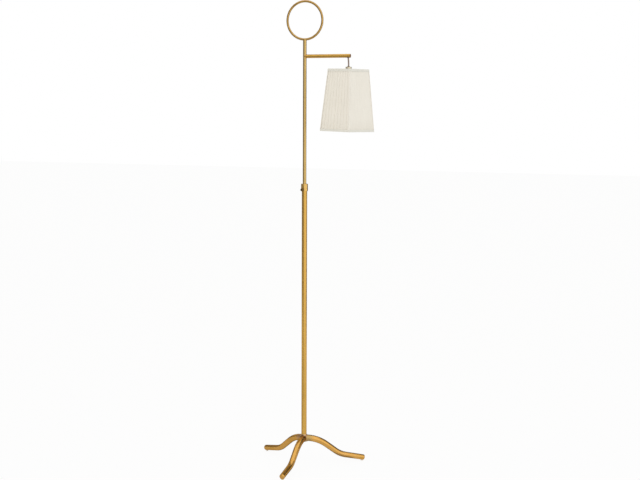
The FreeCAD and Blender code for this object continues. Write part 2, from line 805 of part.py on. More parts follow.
# Cord outlet bush: a throat over the cord's pivot that opens both ways, so that the cord can lean
lead_radius = size("lead_dia") / 2
throat_radius = lead_radius + size("joint_gap")
outlet_bottom = arm_bottom - size("outlet_bush_below") - outlet_height
throat_top = size("outlet_bush_throat")
mouth_radius = throat_radius - outlet_bottom * tangent(size("outlet_mouth_angle"))
outlet_flare = (outlet_radius - throat_radius) / 2
outlet_bush = turned("outlet_bush", [
    (throat_radius, throat_top),
    (throat_radius, ZERO),
    (mouth_radius, outlet_bottom),
    (outlet_radius, outlet_bottom),
    (outlet_radius, throat_top + outlet_flare),
    (throat_radius + outlet_flare, throat_top + outlet_flare),
])
place(outlet_bush, pivot, Rotation())


def tangent_path(points, arc_share):
    """Joins straight runs by tangent arcs and gives the path's edges and its radii."""
    edges = []
    radii = []
    start = points[0]
    for before, corner, after in zip(points, points[1:], points[2:]):
        run_in = before - corner
        run_out = after - corner
        shorter = min(run_in.Length, run_out.Length)
        turn = math.pi - run_in.getAngle(run_out)
        run_in.normalize()
        run_out.normalize()
        setback = arc_share * shorter
        radius = setback / math.tan(turn / 2)
        arc_start = corner + run_in * setback
        arc_end = corner + run_out * setback
        towards_centre = run_in + run_out
        towards_centre.normalize()
        centre = corner + towards_centre * (radius / math.cos(turn / 2))
        middle = centre - towards_centre * radius
        edges.append(Part.LineSegment(start, arc_start).toShape())
        edges.append(Part.Arc(arc_start, middle, arc_end).toShape())
        radii.append(radius)
        start = arc_end
    edges.append(Part.LineSegment(start, points[-1]).toShape())
    return edges, radii


def tube_along(edges, radius):
    """A solid round tube along a smooth path, compared with its section times its length."""
    path = Part.Wire(edges)
    first = path.OrderedVertexes[0].Point
    heading = edges[0].tangentAt(edges[0].FirstParameter)
    section = Part.Wire(Part.Circle(first, heading, radius).toShape())
    solid = path.makePipeShell([section], True, False)
    wanted = math.pi * radius ** 2 * path.Length
    assert abs(solid.Volume - wanted) < wanted * VOLUME_MATCH_SHARE, "the tube's volume is off"
    return solid, path.Length


# Lead inside the mast: up the tube, round into the arm and down towards the outlet
elbow = size("lead_elbow_radius").number
outlet_bend = size("lead_outlet_radius").number
arm_level = arm_height.number
lead_start = Vector(0, 0, tube_end.number)
elbow_start = Vector(0, 0, arm_level - elbow)
elbow_middle = Vector(elbow * (1 - math.cos(math.pi / 4)), 0, arm_level - elbow * (1 - math.sin(math.pi / 4)))
elbow_end = Vector(elbow, 0, arm_level)
exit_run = Vector(CORD_ROUTE[1][0] - CORD_ROUTE[0][0], 0, CORD_ROUTE[1][1] - CORD_ROUTE[0][1])
exit_turn = exit_run.getAngle(Vector(1, 0, 0))
bend_start = Vector(pivot.x - outlet_bend * math.sin(exit_turn), 0, arm_level)
bend_stop = exit_turn - (lead_radius.number + 2 * size("joint_gap").number) / outlet_bend


def on_bend(angle):
    """A point of the bend that turns the lead down towards the outlet."""
    return bend_start + Vector(outlet_bend * math.sin(angle), 0, outlet_bend * (math.cos(angle) - 1))


lead_edges = [
    Part.LineSegment(lead_start, elbow_start).toShape(),
    Part.Arc(elbow_start, elbow_middle, elbow_end).toShape(),
    Part.LineSegment(elbow_end, bend_start).toShape(),
    Part.Arc(bend_start, on_bend(bend_stop / 2), on_bend(bend_stop)).toShape(),
]
mast_lead_shape, mast_lead_length = tube_along(lead_edges, lead_radius.number)
mast_lead = feature("mast_lead", mast_lead_shape)
lower_lead_bottom = nut_bottom + size("lead_bush_sleeve") + size("joint_gap")
lower_lead = turned("lower_lead", [
    (ZERO, lower_lead_bottom),
    (lead_radius, lower_lead_bottom),
    (lead_radius, tube_end - size("guide_bush_flange")),
    (ZERO, tube_end - size("guide_bush_flange")),
])

# Drop cord: a gentle bow between the two pivots, each inside its own bush
route = [pivot + Vector(across, 0, up) for across, up in CORD_ROUTE]
cord_edges, cord_radii = tangent_path(route, CORD_ARC_SHARE)
cord_shape, cord_length = tube_along(cord_edges, lead_radius.number)
drop_cord = feature("drop_cord", cord_shape)
print("drop cord", round(cord_length, 2), "mm, radii", [round(radius, 1) for radius in cord_radii])
print("mast lead", round(mast_lead_length, 1), "mm")

# Pendant: every piece is made about the shade's own axis, with its origin at the cord's lower end
pendant_base = route[-1]
pendant_rotation = Rotation(Vector(0, 1, 0), size("pendant_lean_angle").number).multiply(
    Rotation(Vector(0, 0, 1), size("pendant_turn_angle").number))


def hang(item, height=0.0, turn=Rotation()):
    """Hangs a piece on the pendant's axis, at a height over the cord's lower end."""
    base = pendant_base + pendant_rotation.multVec(Vector(0, 0, height))
    return place(item, base, pendant_rotation.multiply(turn))


cap_top = -size("cap_drop")
cap_bottom = cap_top - size("cap_height")
sleeve_radius = size("cord_bush_sleeve_dia") / 2
bush_bore = lead_radius + size("lead_gap")
cord_bush_top = cap_top + size("cord_bush_flange")
cord_throat = lead_radius + size("joint_gap")
sleeve_end = cap_top - size("cord_bush_depth")
funnel_bottom = -(lead_radius + size("joint_gap"))
cord_bush = turned("cord_bush", [
    (bush_bore, sleeve_end),
    (sleeve_radius, sleeve_end),
    (sleeve_radius, cap_top),
    (size("cord_bush_flange_dia") / 2, cap_top),
    (size("cord_bush_flange_dia") / 2, cord_bush_top),
    (cord_throat + (cord_bush_top - cap_top) / 2, cord_bush_top),
    (cord_throat, cap_top),
    (cord_throat, funnel_bottom),
    (bush_bore, funnel_bottom),
])
hang(cord_bush)
cap_radius = size("cap_dia") / 2
cap_web_bottom = cap_top - size("cap_web")
shade_cap = turned("shade_cap", [
    (sleeve_radius + size("slide_clearance"), cap_top),
    (sleeve_radius + size("slide_clearance"), cap_web_bottom),
    (nipple_hole, cap_web_bottom),
    (nipple_hole, cap_bottom),
    (cap_radius, cap_bottom),
    (cap_radius, cap_top),
])
round_edges(shade_cap, "cap_rounding", edges_at(shade_cap.Shape, cap_top, cap_radius), size("cap_rounding"))
grip_radius = size("grip_screw_dia") / 2
grip_height = cap_top - size("cap_web") / 2
cut_circles(shade_cap, "grip_hole", "YZ_Plane",
            [(ZERO, grip_height, grip_radius + size("seat_clearance"))], cap_radius + overrun, away=True)
grip_turn = Rotation(Vector(0, 0, 1), size("grip_screw_turn_angle").number)
hang(shade_cap, turn=grip_turn)
grip_start = sleeve_radius + size("joint_gap")
slot_depth = grip_radius / 2
grip_screw = turned("grip_screw", [
    (ZERO, grip_start),
    (grip_radius, grip_start),
    (grip_radius, grip_start + size("grip_screw_length")),
    (slot_depth, grip_start + size("grip_screw_length")),
    (slot_depth, grip_start + size("grip_screw_length") - slot_depth),
    (ZERO, grip_start + size("grip_screw_length") - slot_depth),
])
hang(grip_screw, grip_height.number, grip_turn.multiply(lie_outward))

nipple_top = cap_web_bottom - size("joint_gap")
nipple_bottom = nipple_top - size("pendant_nipple_length")
pendant_nipple = hang(tube("pendant_nipple", nipple_radius, nipple_bore, nipple_bottom, nipple_top))
washer_low = cap_bottom - size("spider_washer_thickness")
lock_nut_bottom = washer_low - size("lock_nut_height")
lock_nut = hex_nut("lock_nut", size("lock_nut_across"), size("lock_nut_height"), lock_nut_bottom,
                   lambda item, bottom: hang(item, bottom.number))

# Lamp holder
socket_cap_top = -size("socket_cap_drop")
neck_bottom = socket_cap_top - size("socket_neck_height")
dome_bottom = neck_bottom - size("socket_dome_height")
skirt_bottom = dome_bottom - size("socket_skirt")
shell_radius = size("socket_shell_dia") / 2
wall = size("socket_shell_wall")
skirt_inner = shell_radius + size("socket_fit")
skirt_outer = skirt_inner + wall
neck_radius = size("socket_neck_dia") / 2
dome_shoulder = (neck_radius + skirt_outer) / 2
dome_rise = size("socket_dome_height") * SOCKET_DOME_SHARE
socket_cap = hang(turned("socket_cap", [
    (nipple_hole, socket_cap_top),
    (neck_radius, socket_cap_top),
    (neck_radius, neck_bottom),
    (dome_shoulder, neck_bottom - dome_rise),
    (skirt_outer, dome_bottom),
    (skirt_outer, skirt_bottom),
    (skirt_inner, skirt_bottom),
    (skirt_inner, dome_bottom),
    (dome_shoulder - wall, neck_bottom - dome_rise - wall),
    (nipple_hole, neck_bottom - wall),
]))
shell_top = dome_bottom - size("socket_fit")
shell_bottom = shell_top - size("socket_shell_height")
switch_height = shell_top - size("switch_axis_drop")
slot_radius = size("switch_slot_width") / 2
liner_radius = shell_radius - wall - size("socket_fit")
liner_inner = liner_radius - size("socket_liner_wall")
socket_turn = Rotation(Vector(0, 0, 1), size("switch_turn_angle").number)


def slotted_sleeve(label, outer, inner, bottom, top):
    """A sleeve with a hole in its side for the switch's shaft."""
    body = tube(label, outer, inner, bottom, top)
    cut_circles(body, label + "_slot", "YZ_Plane", [(ZERO, switch_height, slot_radius)],
                outer + overrun, away=True)
    return hang(body, turn=socket_turn)


socket_shell = slotted_sleeve("socket_shell", shell_radius, shell_radius - wall, shell_bottom, shell_top)
socket_liner = slotted_sleeve("socket_liner", liner_radius, liner_inner, shell_bottom + wall, shell_top)
switch_radius = liner_inner - size("socket_fit")
switch_bottom = shell_top - size("switch_body_height")
shaft_radius = size("switch_shaft_dia") / 2
switch_body = turned("switch_body", [
    (ZERO, switch_bottom),
    (switch_radius, switch_bottom),
    (switch_radius, shell_top - wall),
    (ZERO, shell_top - wall),
])
cut_circles(switch_body, "shaft_hole", "YZ_Plane",
            [(ZERO, switch_height, shaft_radius + size("slide_clearance"))],
            switch_radius + overrun, away=True)
hang(switch_body, turn=socket_turn)
knob_start = shell_radius + size("switch_knob_gap")
knob_radius = size("switch_knob_dia") / 2
knob_end = knob_start + size("switch_knob_length")
knob_collar = knob_start + size("switch_knob_flat")
switch_knob = turned("switch_knob", [
    (ZERO, switch_radius / 2),
    (shaft_radius, switch_radius / 2),
    (shaft_radius, knob_start),
    (knob_radius, knob_start),
    (knob_radius, knob_end),
    (ZERO, knob_end),
])
flats = sketch_on(switch_knob, "knob_flats", "XZ_Plane")
for side in (-1.0, 1.0):
    near = side * size("switch_knob_flat") / 2
    far = side * (knob_radius + overrun)
    outline(flats, [(near, knob_collar), (far, knob_collar),
                    (far, knob_end + overrun), (near, knob_end + overrun)])
knob_volume = switch_knob.Shape.Volume
flat_cut = switch_knob.newObject("PartDesign::Pocket", "knob_paddle")
flat_cut.Profile = flats
flat_cut.Midplane = True
bind(flat_cut, "Length", 2 * (knob_radius + overrun))
doc.recompute()
assert switch_knob.Shape.Volume < knob_volume, "the knob's flats cut nothing"
hang(switch_knob, switch_height.number, socket_turn.multiply(lie_outward))

screw_shell_radius = size("screw_shell_dia") / 2
screw_shell_top = switch_bottom - size("socket_fit")
screw_shell_bottom = screw_shell_top - size("screw_shell_height")
shell_inside = screw_shell_radius - size("screw_shell_wall")
contact_radius = size("contact_dia") / 2
contact_clear = contact_radius + overrun
screw_shell = hang(turned("screw_shell", [
    (contact_clear, screw_shell_top),
    (screw_shell_radius, screw_shell_top),
    (screw_shell_radius, screw_shell_bottom),
    (shell_inside, screw_shell_bottom),
    (shell_inside, screw_shell_top - size("screw_shell_wall")),
    (contact_clear, screw_shell_top - size("screw_shell_wall")),
]))
contact_bottom = screw_shell_top - size("contact_height")
centre_contact = hang(turned("centre_contact", [
    (ZERO, contact_bottom),
    (contact_radius / 2, contact_bottom),
    (contact_radius, contact_bottom + size("contact_height") / 2),
    (contact_radius, screw_shell_top),
    (ZERO, screw_shell_top),
]))

# Bulb
bulb_top = contact_bottom - size("seat_clearance")
tip_radius = size("bulb_tip_dia") / 2
cap_shoulder = bulb_top - size("bulb_tip_height")
bulb_cap_radius = size("bulb_cap_dia") / 2
bulb_cap_bottom = cap_shoulder - size("bulb_cap_height")
bulb_neck = size("bulb_neck_dia") / 2
bulb_cap_wall = size("bulb_cap_wall")
tip_inside = tip_radius - bulb_cap_wall
bulb_cap = hang(turned("bulb_cap", [
    (ZERO, bulb_top),
    (tip_radius, bulb_top),
    (bulb_cap_radius * BULB_SHOULDER_SHARE, cap_shoulder),
    (bulb_cap_radius, cap_shoulder - size("bulb_tip_height")),
    (bulb_cap_radius, bulb_cap_bottom),
    (bulb_cap_radius - bulb_cap_wall, bulb_cap_bottom),
    (bulb_cap_radius - bulb_cap_wall, cap_shoulder - size("bulb_tip_height")),
    (bulb_cap_radius * BULB_SHOULDER_SHARE - bulb_cap_wall, cap_shoulder - bulb_cap_wall),
    (tip_inside, bulb_top - bulb_cap_wall),
    (ZERO, bulb_top - bulb_cap_wall),
]))


def bulb_curves(inset):
    """The two arcs of the bulb's pear form, from its neck to its lowest point, inset by a wall."""
    globe_outer = size("bulb_dia").number / 2
    neck_outer = bulb_neck.number
    top = bulb_cap_bottom.number
    globe_height = top - size("bulb_glass_length").number + globe_outer
    drop = top - globe_height
    flare_outer = (drop ** 2 + neck_outer ** 2 - globe_outer ** 2) / (2 * (globe_outer - neck_outer))
    flare_centre = Vector(neck_outer + flare_outer, 0, top)
    globe_centre = Vector(0, 0, globe_height)
    towards = flare_centre - globe_centre
    towards.normalize()
    globe = globe_outer - inset
    flare = flare_outer + inset
    meeting = globe_centre + towards * globe
    half_flare = math.atan2(top - meeting.z, flare_centre.x - meeting.x) / 2
    flare_middle = flare_centre - Vector(flare * math.cos(half_flare), 0, flare * math.sin(half_flare))
    half_globe = (math.atan2(towards.z, towards.x) - math.pi / 2) / 2
    globe_middle = globe_centre + Vector(globe * math.cos(half_globe), 0, globe * math.sin(half_globe))
    start = Vector(neck_outer - inset, 0, top)
    end = globe_centre - Vector(0, 0, globe)
    return start, end, [Part.Arc(start, flare_middle, meeting).toShape(),
                        Part.Arc(meeting, globe_middle, end).toShape()]


def bulb_glass_shape():
    """A hollow pear form: a flared neck that runs smoothly into a globe."""
    outer_start, outer_end, outer_arcs = bulb_curves(ZERO.number)
    inner_start, inner_end, inner_arcs = bulb_curves(size("bulb_glass_wall").number)
    rim = Part.LineSegment(inner_start, outer_start).toShape()
    closing = Part.LineSegment(outer_end, inner_end).toShape()
    profile = Part.Wire(Part.__sortEdges__([rim] + outer_arcs + [closing] + inner_arcs))
    return Part.Face(profile).revolve(Vector(), Vector(0, 0, 1), 360)


bulb_globe = hang(feature("bulb_globe", bulb_glass_shape()))
lead_top = funnel_bottom - size("joint_gap")
pendant_lead = hang(turned("pendant_lead", [
    (ZERO, shell_top),
    (lead_radius, shell_top),
    (lead_radius, lead_top),
    (ZERO, lead_top),
]))

# Shade: a tapered square, taken from the axis to the outside of its trim
shade_top = cap_bottom
shade_height = size("shade_height")
shade_bottom = shade_top - shade_height
top_half = size("shade_top_side") / 2
bottom_half = size("shade_bottom_side") / 2
trim = size("trim_thickness")
cover_depth = size("pleat_depth") + size("cover_base")
liner_offset = trim + cover_depth + size("liner_gap")
inner_offset = liner_offset + size("liner_thickness")


def half_side(height):
    """Half of the shade's outer side at a height of the pendant."""
    return top_half + (bottom_half - top_half) * (shade_top - height) / shade_height


def square_section(body, name, half, height):
    """A square about the pendant's axis, on a level of its own."""
    sketch = sketch_on(body, name, "XY_Plane")
    sketch.AttachmentOffset = Placement(Vector(0, 0, height.number), Rotation())
    bind(sketch, "AttachmentOffset.Base.z", height)
    outline(sketch, [(half, half), (-half, half), (-half, -half), (half, -half)])
    return sketch


def square_sleeve(label, outside, inside, top, bottom):
    """A tapered square sleeve whose walls lie at two offsets inside the shade's outline."""
    body = new_body(label)
    past_top = top + overrun
    past_bottom = bottom - overrun
    loft = body.newObject("PartDesign::AdditiveLoft", label + "_outside")
    loft.Profile = square_section(body, label + "_top", half_side(top) - outside, top)
    loft.Sections = [(square_section(body, label + "_low", half_side(bottom) - outside, bottom), [""])]
    doc.recompute()
    before = body.Shape.Volume
    hollow = body.newObject("PartDesign::SubtractiveLoft", label + "_inside")
    hollow.Profile = square_section(body, label + "_in_top", half_side(past_top) - inside, past_top)
    hollow.Sections = [(square_section(body, label + "_in_low",
                                       half_side(past_bottom) - inside, past_bottom), [""])]
    doc.recompute()
    assert body.Shape.Volume < before, f"{label} stays solid"
    return hang(body)


shade_liner = square_sleeve("shade_liner", liner_offset, inner_offset, shade_top, shade_bottom)
top_trim = square_sleeve("top_trim", ZERO, trim - size("seat_clearance"),
                         shade_top, shade_top - size("top_trim_height"))
bottom_trim = square_sleeve("bottom_trim", ZERO, trim - size("seat_clearance"),
                            shade_bottom + size("bottom_trim_height"), shade_bottom)


def pleated_loop(height):
    """The cover's outside at one level: knife pleats along four sides, each a long and a short face."""
    half = half_side(height).number - trim.number
    depth = size("pleat_depth").number
    count = int(size("pleats_per_side").number)
    share = size("pleat_lean_share").number
    pitch = 2 * half / count
    points = []
    for side in range(SIDES):
        turn = Rotation(Vector(0, 0, 1), QUARTER * side)
        for pleat in range(count):
            start = -half + pitch * pleat
            ridge = Vector(start, -half, height.number)
            valley = Vector(start + pitch * share, -half + depth, height.number)
            points.append(turn.multVec(ridge))
            points.append(turn.multVec(valley))
    points.append(points[0])
    return Part.makePolygon(points)


def square_loop(half, height):
    """A plain square at one level."""
    corners = [(half, half), (-half, half), (-half, -half), (half, -half), (half, half)]
    return Part.makePolygon([Vector(across, along, height) for across, along in corners])


def pleated_cover_shape():
    """Lofts the pleats from the bottom rim to the top rim and hollows the cover to its base cloth."""
    outside = Part.makeLoft([pleated_loop(shade_bottom), pleated_loop(shade_top)], True, True)
    inner = trim + cover_depth
    low = shade_bottom - overrun
    high = shade_top + overrun
    inside = Part.makeLoft([square_loop((half_side(low) - inner).number, low.number),
                            square_loop((half_side(high) - inner).number, high.number)], True, True)
    return outside.cut(inside)


shade_cover = hang(feature("shade_cover", pleated_cover_shape()))


def corner_tape_shape():
    """Four folded tapes, one down each corner between the two rim trims."""
    width = size("corner_tape_width").number
    top = shade_top - size("top_trim_height") - size("joint_gap")
    bottom = shade_bottom + size("bottom_trim_height") + size("joint_gap")
    tapes = []
    for side in range(SIDES):
        turn = Rotation(Vector(0, 0, 1), QUARTER * side)
        loops = []
        for height in (bottom, top):
            outer = half_side(height).number
            inner = outer - trim.number + size("seat_clearance").number
            spots = [(outer, outer), (outer - width, outer), (outer - width, inner),
                     (inner, inner), (inner, outer - width), (outer, outer - width), (outer, outer)]
            points = [turn.multVec(Vector(across, along, height.number)) for across, along in spots]
            loops.append(Part.makePolygon(points))
        tapes.append(Part.makeLoft(loops, True, True))
    return Part.makeCompound(tapes)


corner_trim = hang(feature("corner_trim", corner_tape_shape()))

# Wire frame: a rim wire at each end, four ribs, and the spider that the cap clamps
wire_radius = size("wire_dia").number / 2
wire_gap = size("joint_gap").number


def rim_wire(height):
    """A square wire with bent corners, just inside the liner."""
    half = (half_side(height) - inner_offset).number - wire_radius - wire_gap
    bend = size("wire_bend").number
    reach = half - bend
    level = height.number
    diagonal = bend * math.sqrt(0.5)
    edges = []
    for side in range(SIDES):
        turn = Rotation(Vector(0, 0, 1), QUARTER * side)
        run_start = Vector(-reach, -half, level)
        run_end = Vector(reach, -half, level)
        bend_middle = Vector(reach + diagonal, -reach - diagonal, level)
        bend_end = Vector(half, -reach, level)
        edges.append(Part.LineSegment(turn.multVec(run_start), turn.multVec(run_end)).toShape())
        edges.append(Part.Arc(turn.multVec(run_end), turn.multVec(bend_middle),
                              turn.multVec(bend_end)).toShape())
    path = Part.Wire(edges)
    section = Part.Wire(Part.Circle(Vector(-reach, -half, level), Vector(1, 0, 0), wire_radius).toShape())
    return path.makePipeShell([section], True, False)


top_wire_height = shade_top - size("rim_wire_drop") - size("wire_dia") / 2
bottom_wire_height = shade_bottom + size("rim_wire_drop") + size("wire_dia") / 2


def spider_shape():
    """The top rim wire with four flat arms that meet in a washer on the nipple."""
    washer_radius = size("spider_washer_dia").number / 2
    thickness = size("spider_washer_thickness").number
    width = size("spider_arm_width").number
    low = washer_low.number
    wire_height = top_wire_height.number
    half = (half_side(top_wire_height) - inner_offset).number - wire_radius - wire_gap
    shape = rim_wire(top_wire_height).fuse(Part.makeCylinder(washer_radius, thickness, Vector(0, 0, low)))
    foot = wire_height - thickness / 2
    for side in range(SIDES):
        profile = Part.makePolygon([
            Vector(0, -width / 2, low), Vector(washer_radius, -width / 2, low),
            Vector(half, -width / 2, foot), Vector(half, -width / 2, foot + thickness),
            Vector(washer_radius, -width / 2, low + thickness), Vector(0, -width / 2, low + thickness),
            Vector(0, -width / 2, low)])
        arm_solid = Part.Face(profile).extrude(Vector(0, width, 0))
        arm_solid.rotate(Vector(), Vector(0, 0, 1), QUARTER * side)
        shape = shape.fuse(arm_solid)
    bore = Part.makeCylinder(nipple_hole.number, 4 * thickness, Vector(0, 0, low - thickness))
    return shape.cut(bore).removeSplitter()


shade_spider = hang(feature("shade_spider", spider_shape()))
bottom_wire = hang(feature("bottom_wire", rim_wire(bottom_wire_height)))


def corner_ribs_shape():
    """Four straight wires down the corners, from rim wire to rim wire."""
    ribs = []
    inset = size("wire_bend").number * (1 - math.sqrt(0.5))
    gap = wire_radius + wire_gap
    for side in range(SIDES):
        turn = Rotation(Vector(0, 0, 1), QUARTER * side)
        ends = []
        for height, step in ((bottom_wire_height, gap), (top_wire_height, -gap)):
            half = (half_side(height) - inner_offset).number - gap - inset
            ends.append(turn.multVec(Vector(half, half, height.number + step)))
        run = ends[1] - ends[0]
        ribs.append(Part.makeCylinder(wire_radius, run.Length, ends[0], run))
    return Part.makeCompound(ribs)


corner_ribs = hang(feature("corner_ribs", corner_ribs_shape()))

NODES = legs + [
    hub, lower_tube, tube_insert, hub_nipple, hub_washer, hub_nut, lead_bush, collar, lower_lead,
    guide_bush, mast_tube, ring_finial, arm_tube, arm_plug, outlet_bush, mast_lead,
    pressure_pad, thumbscrew, drop_cord, cord_bush,
    shade_cap, grip_screw, pendant_nipple, shade_spider, lock_nut, bottom_wire, corner_ribs,
    shade_liner, shade_cover, top_trim, bottom_trim, corner_trim,
    socket_cap, socket_shell, socket_liner, switch_body, screw_shell, centre_contact,
    bulb_cap, bulb_globe, pendant_lead, switch_knob,
]


def check_and_write():
    """Checks every object and every sub-part, then writes one STEP file for each."""
    doc.recompute()
    for item in doc.Objects:
        faults = [state for state in item.State if re.search("Invalid|Error", state)]
        assert not faults, f"{item.Name}: {faults}"
    for node in NODES:
        assert not node.Shape.isNull(), f"{node.Label} is empty"
        assert node.Shape.isValid(), f"{node.Label} is not valid"
    os.makedirs("parts", exist_ok=True)
    for node in NODES:
        node.Shape.exportStep(f"parts/{node.Label}.step")
    print(len(NODES), "sub-parts written")


check_and_write()
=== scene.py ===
import json
import logging
import math
import random
from dataclasses import dataclass, field
from enum import Enum
from typing import Sequence

import bmesh
import bpy
from mathutils import Matrix, Vector


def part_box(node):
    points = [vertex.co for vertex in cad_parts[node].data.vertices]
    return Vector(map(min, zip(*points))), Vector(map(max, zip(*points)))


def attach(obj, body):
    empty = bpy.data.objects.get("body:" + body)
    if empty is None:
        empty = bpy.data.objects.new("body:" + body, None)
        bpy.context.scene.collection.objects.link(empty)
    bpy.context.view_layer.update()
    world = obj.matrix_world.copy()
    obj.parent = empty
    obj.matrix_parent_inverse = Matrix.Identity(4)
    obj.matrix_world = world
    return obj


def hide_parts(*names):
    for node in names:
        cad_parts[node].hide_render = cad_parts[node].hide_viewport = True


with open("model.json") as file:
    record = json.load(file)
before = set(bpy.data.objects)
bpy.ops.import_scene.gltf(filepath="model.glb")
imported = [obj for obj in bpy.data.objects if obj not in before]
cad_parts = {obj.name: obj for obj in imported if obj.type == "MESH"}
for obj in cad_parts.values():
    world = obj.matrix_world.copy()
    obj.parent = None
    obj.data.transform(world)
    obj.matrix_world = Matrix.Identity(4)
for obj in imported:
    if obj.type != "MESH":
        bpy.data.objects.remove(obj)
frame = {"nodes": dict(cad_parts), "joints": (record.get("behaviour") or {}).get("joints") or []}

LOG = logging.getLogger("floor_lamp")
MM = 0.001
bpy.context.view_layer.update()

Colour = tuple[float, float, float]
Triple = tuple[float, float, float]
Corners = Sequence[bmesh.types.BMVert]

EVEN: Triple = (1.0, 1.0, 1.0)
WHITE: Colour = (1.0, 1.0, 1.0)


class Body(str, Enum):
    """The CAD bodies that new pieces ride on."""

    BASE = "base"
    MAST = "mast"
    CORD = "cord"
    SHADE = "shade"


class Slot(str, Enum):
    """Names of the record's material slots; the new pieces' finishes are built here, not taken from them."""

    GILT = "gilt_metal"
    CORD = "cord_braid"
    SILK = "pleated_silk"
    TAPE = "trim_tape"


class Signal:
    """A shader value that Python's own signs join with maths nodes."""

    def __init__(self, bench: "ShaderBench", socket: bpy.types.NodeSocket) -> None:
        """Keeps an output socket and the bench that it is on."""
        self.bench = bench
        self.socket = socket

    def _joined(self, operation: str, first: "Signal | float", second: "Signal | float") -> "Signal":
        """Joins two values by a maths node of the named operation."""
        return self.bench.node("ShaderNodeMath", {"operation": operation}, {0: first, 1: second})

    def __add__(self, other: "Signal | float") -> "Signal":
        """This value plus another."""
        return self._joined("ADD", self, other)

    __radd__ = __add__

    def __sub__(self, other: "Signal | float") -> "Signal":
        """This value less another."""
        return self._joined("SUBTRACT", self, other)

    def __rsub__(self, other: float) -> "Signal":
        """A number less this value."""
        return self._joined("SUBTRACT", other, self)

    def __mul__(self, other: "Signal | float") -> "Signal":
        """This value times another."""
        return self._joined("MULTIPLY", self, other)

    __rmul__ = __mul__

    def angle_from(self, other: "Signal") -> "Signal":
        """The angle whose rise is this value and whose run is another, in radians."""
        return self._joined("ARCTAN2", self, other)

    def wave(self) -> "Signal":
        """The sine of this value, brought between 0 and 1."""
        return self._joined("SINE", self, 0.0) * 0.5 + 0.5

    def limited(self) -> "Signal":
        """This value kept between 0 and 1."""
        return self.bench.node("ShaderNodeClamp", {}, {"Value": self})

    def part(self, axis: str) -> "Signal":
        """One of a vector's three numbers, named by its axis: X, Y or Z."""
        return self.bench.node("ShaderNodeSeparateXYZ", {}, {"Vector": self}, output=axis)


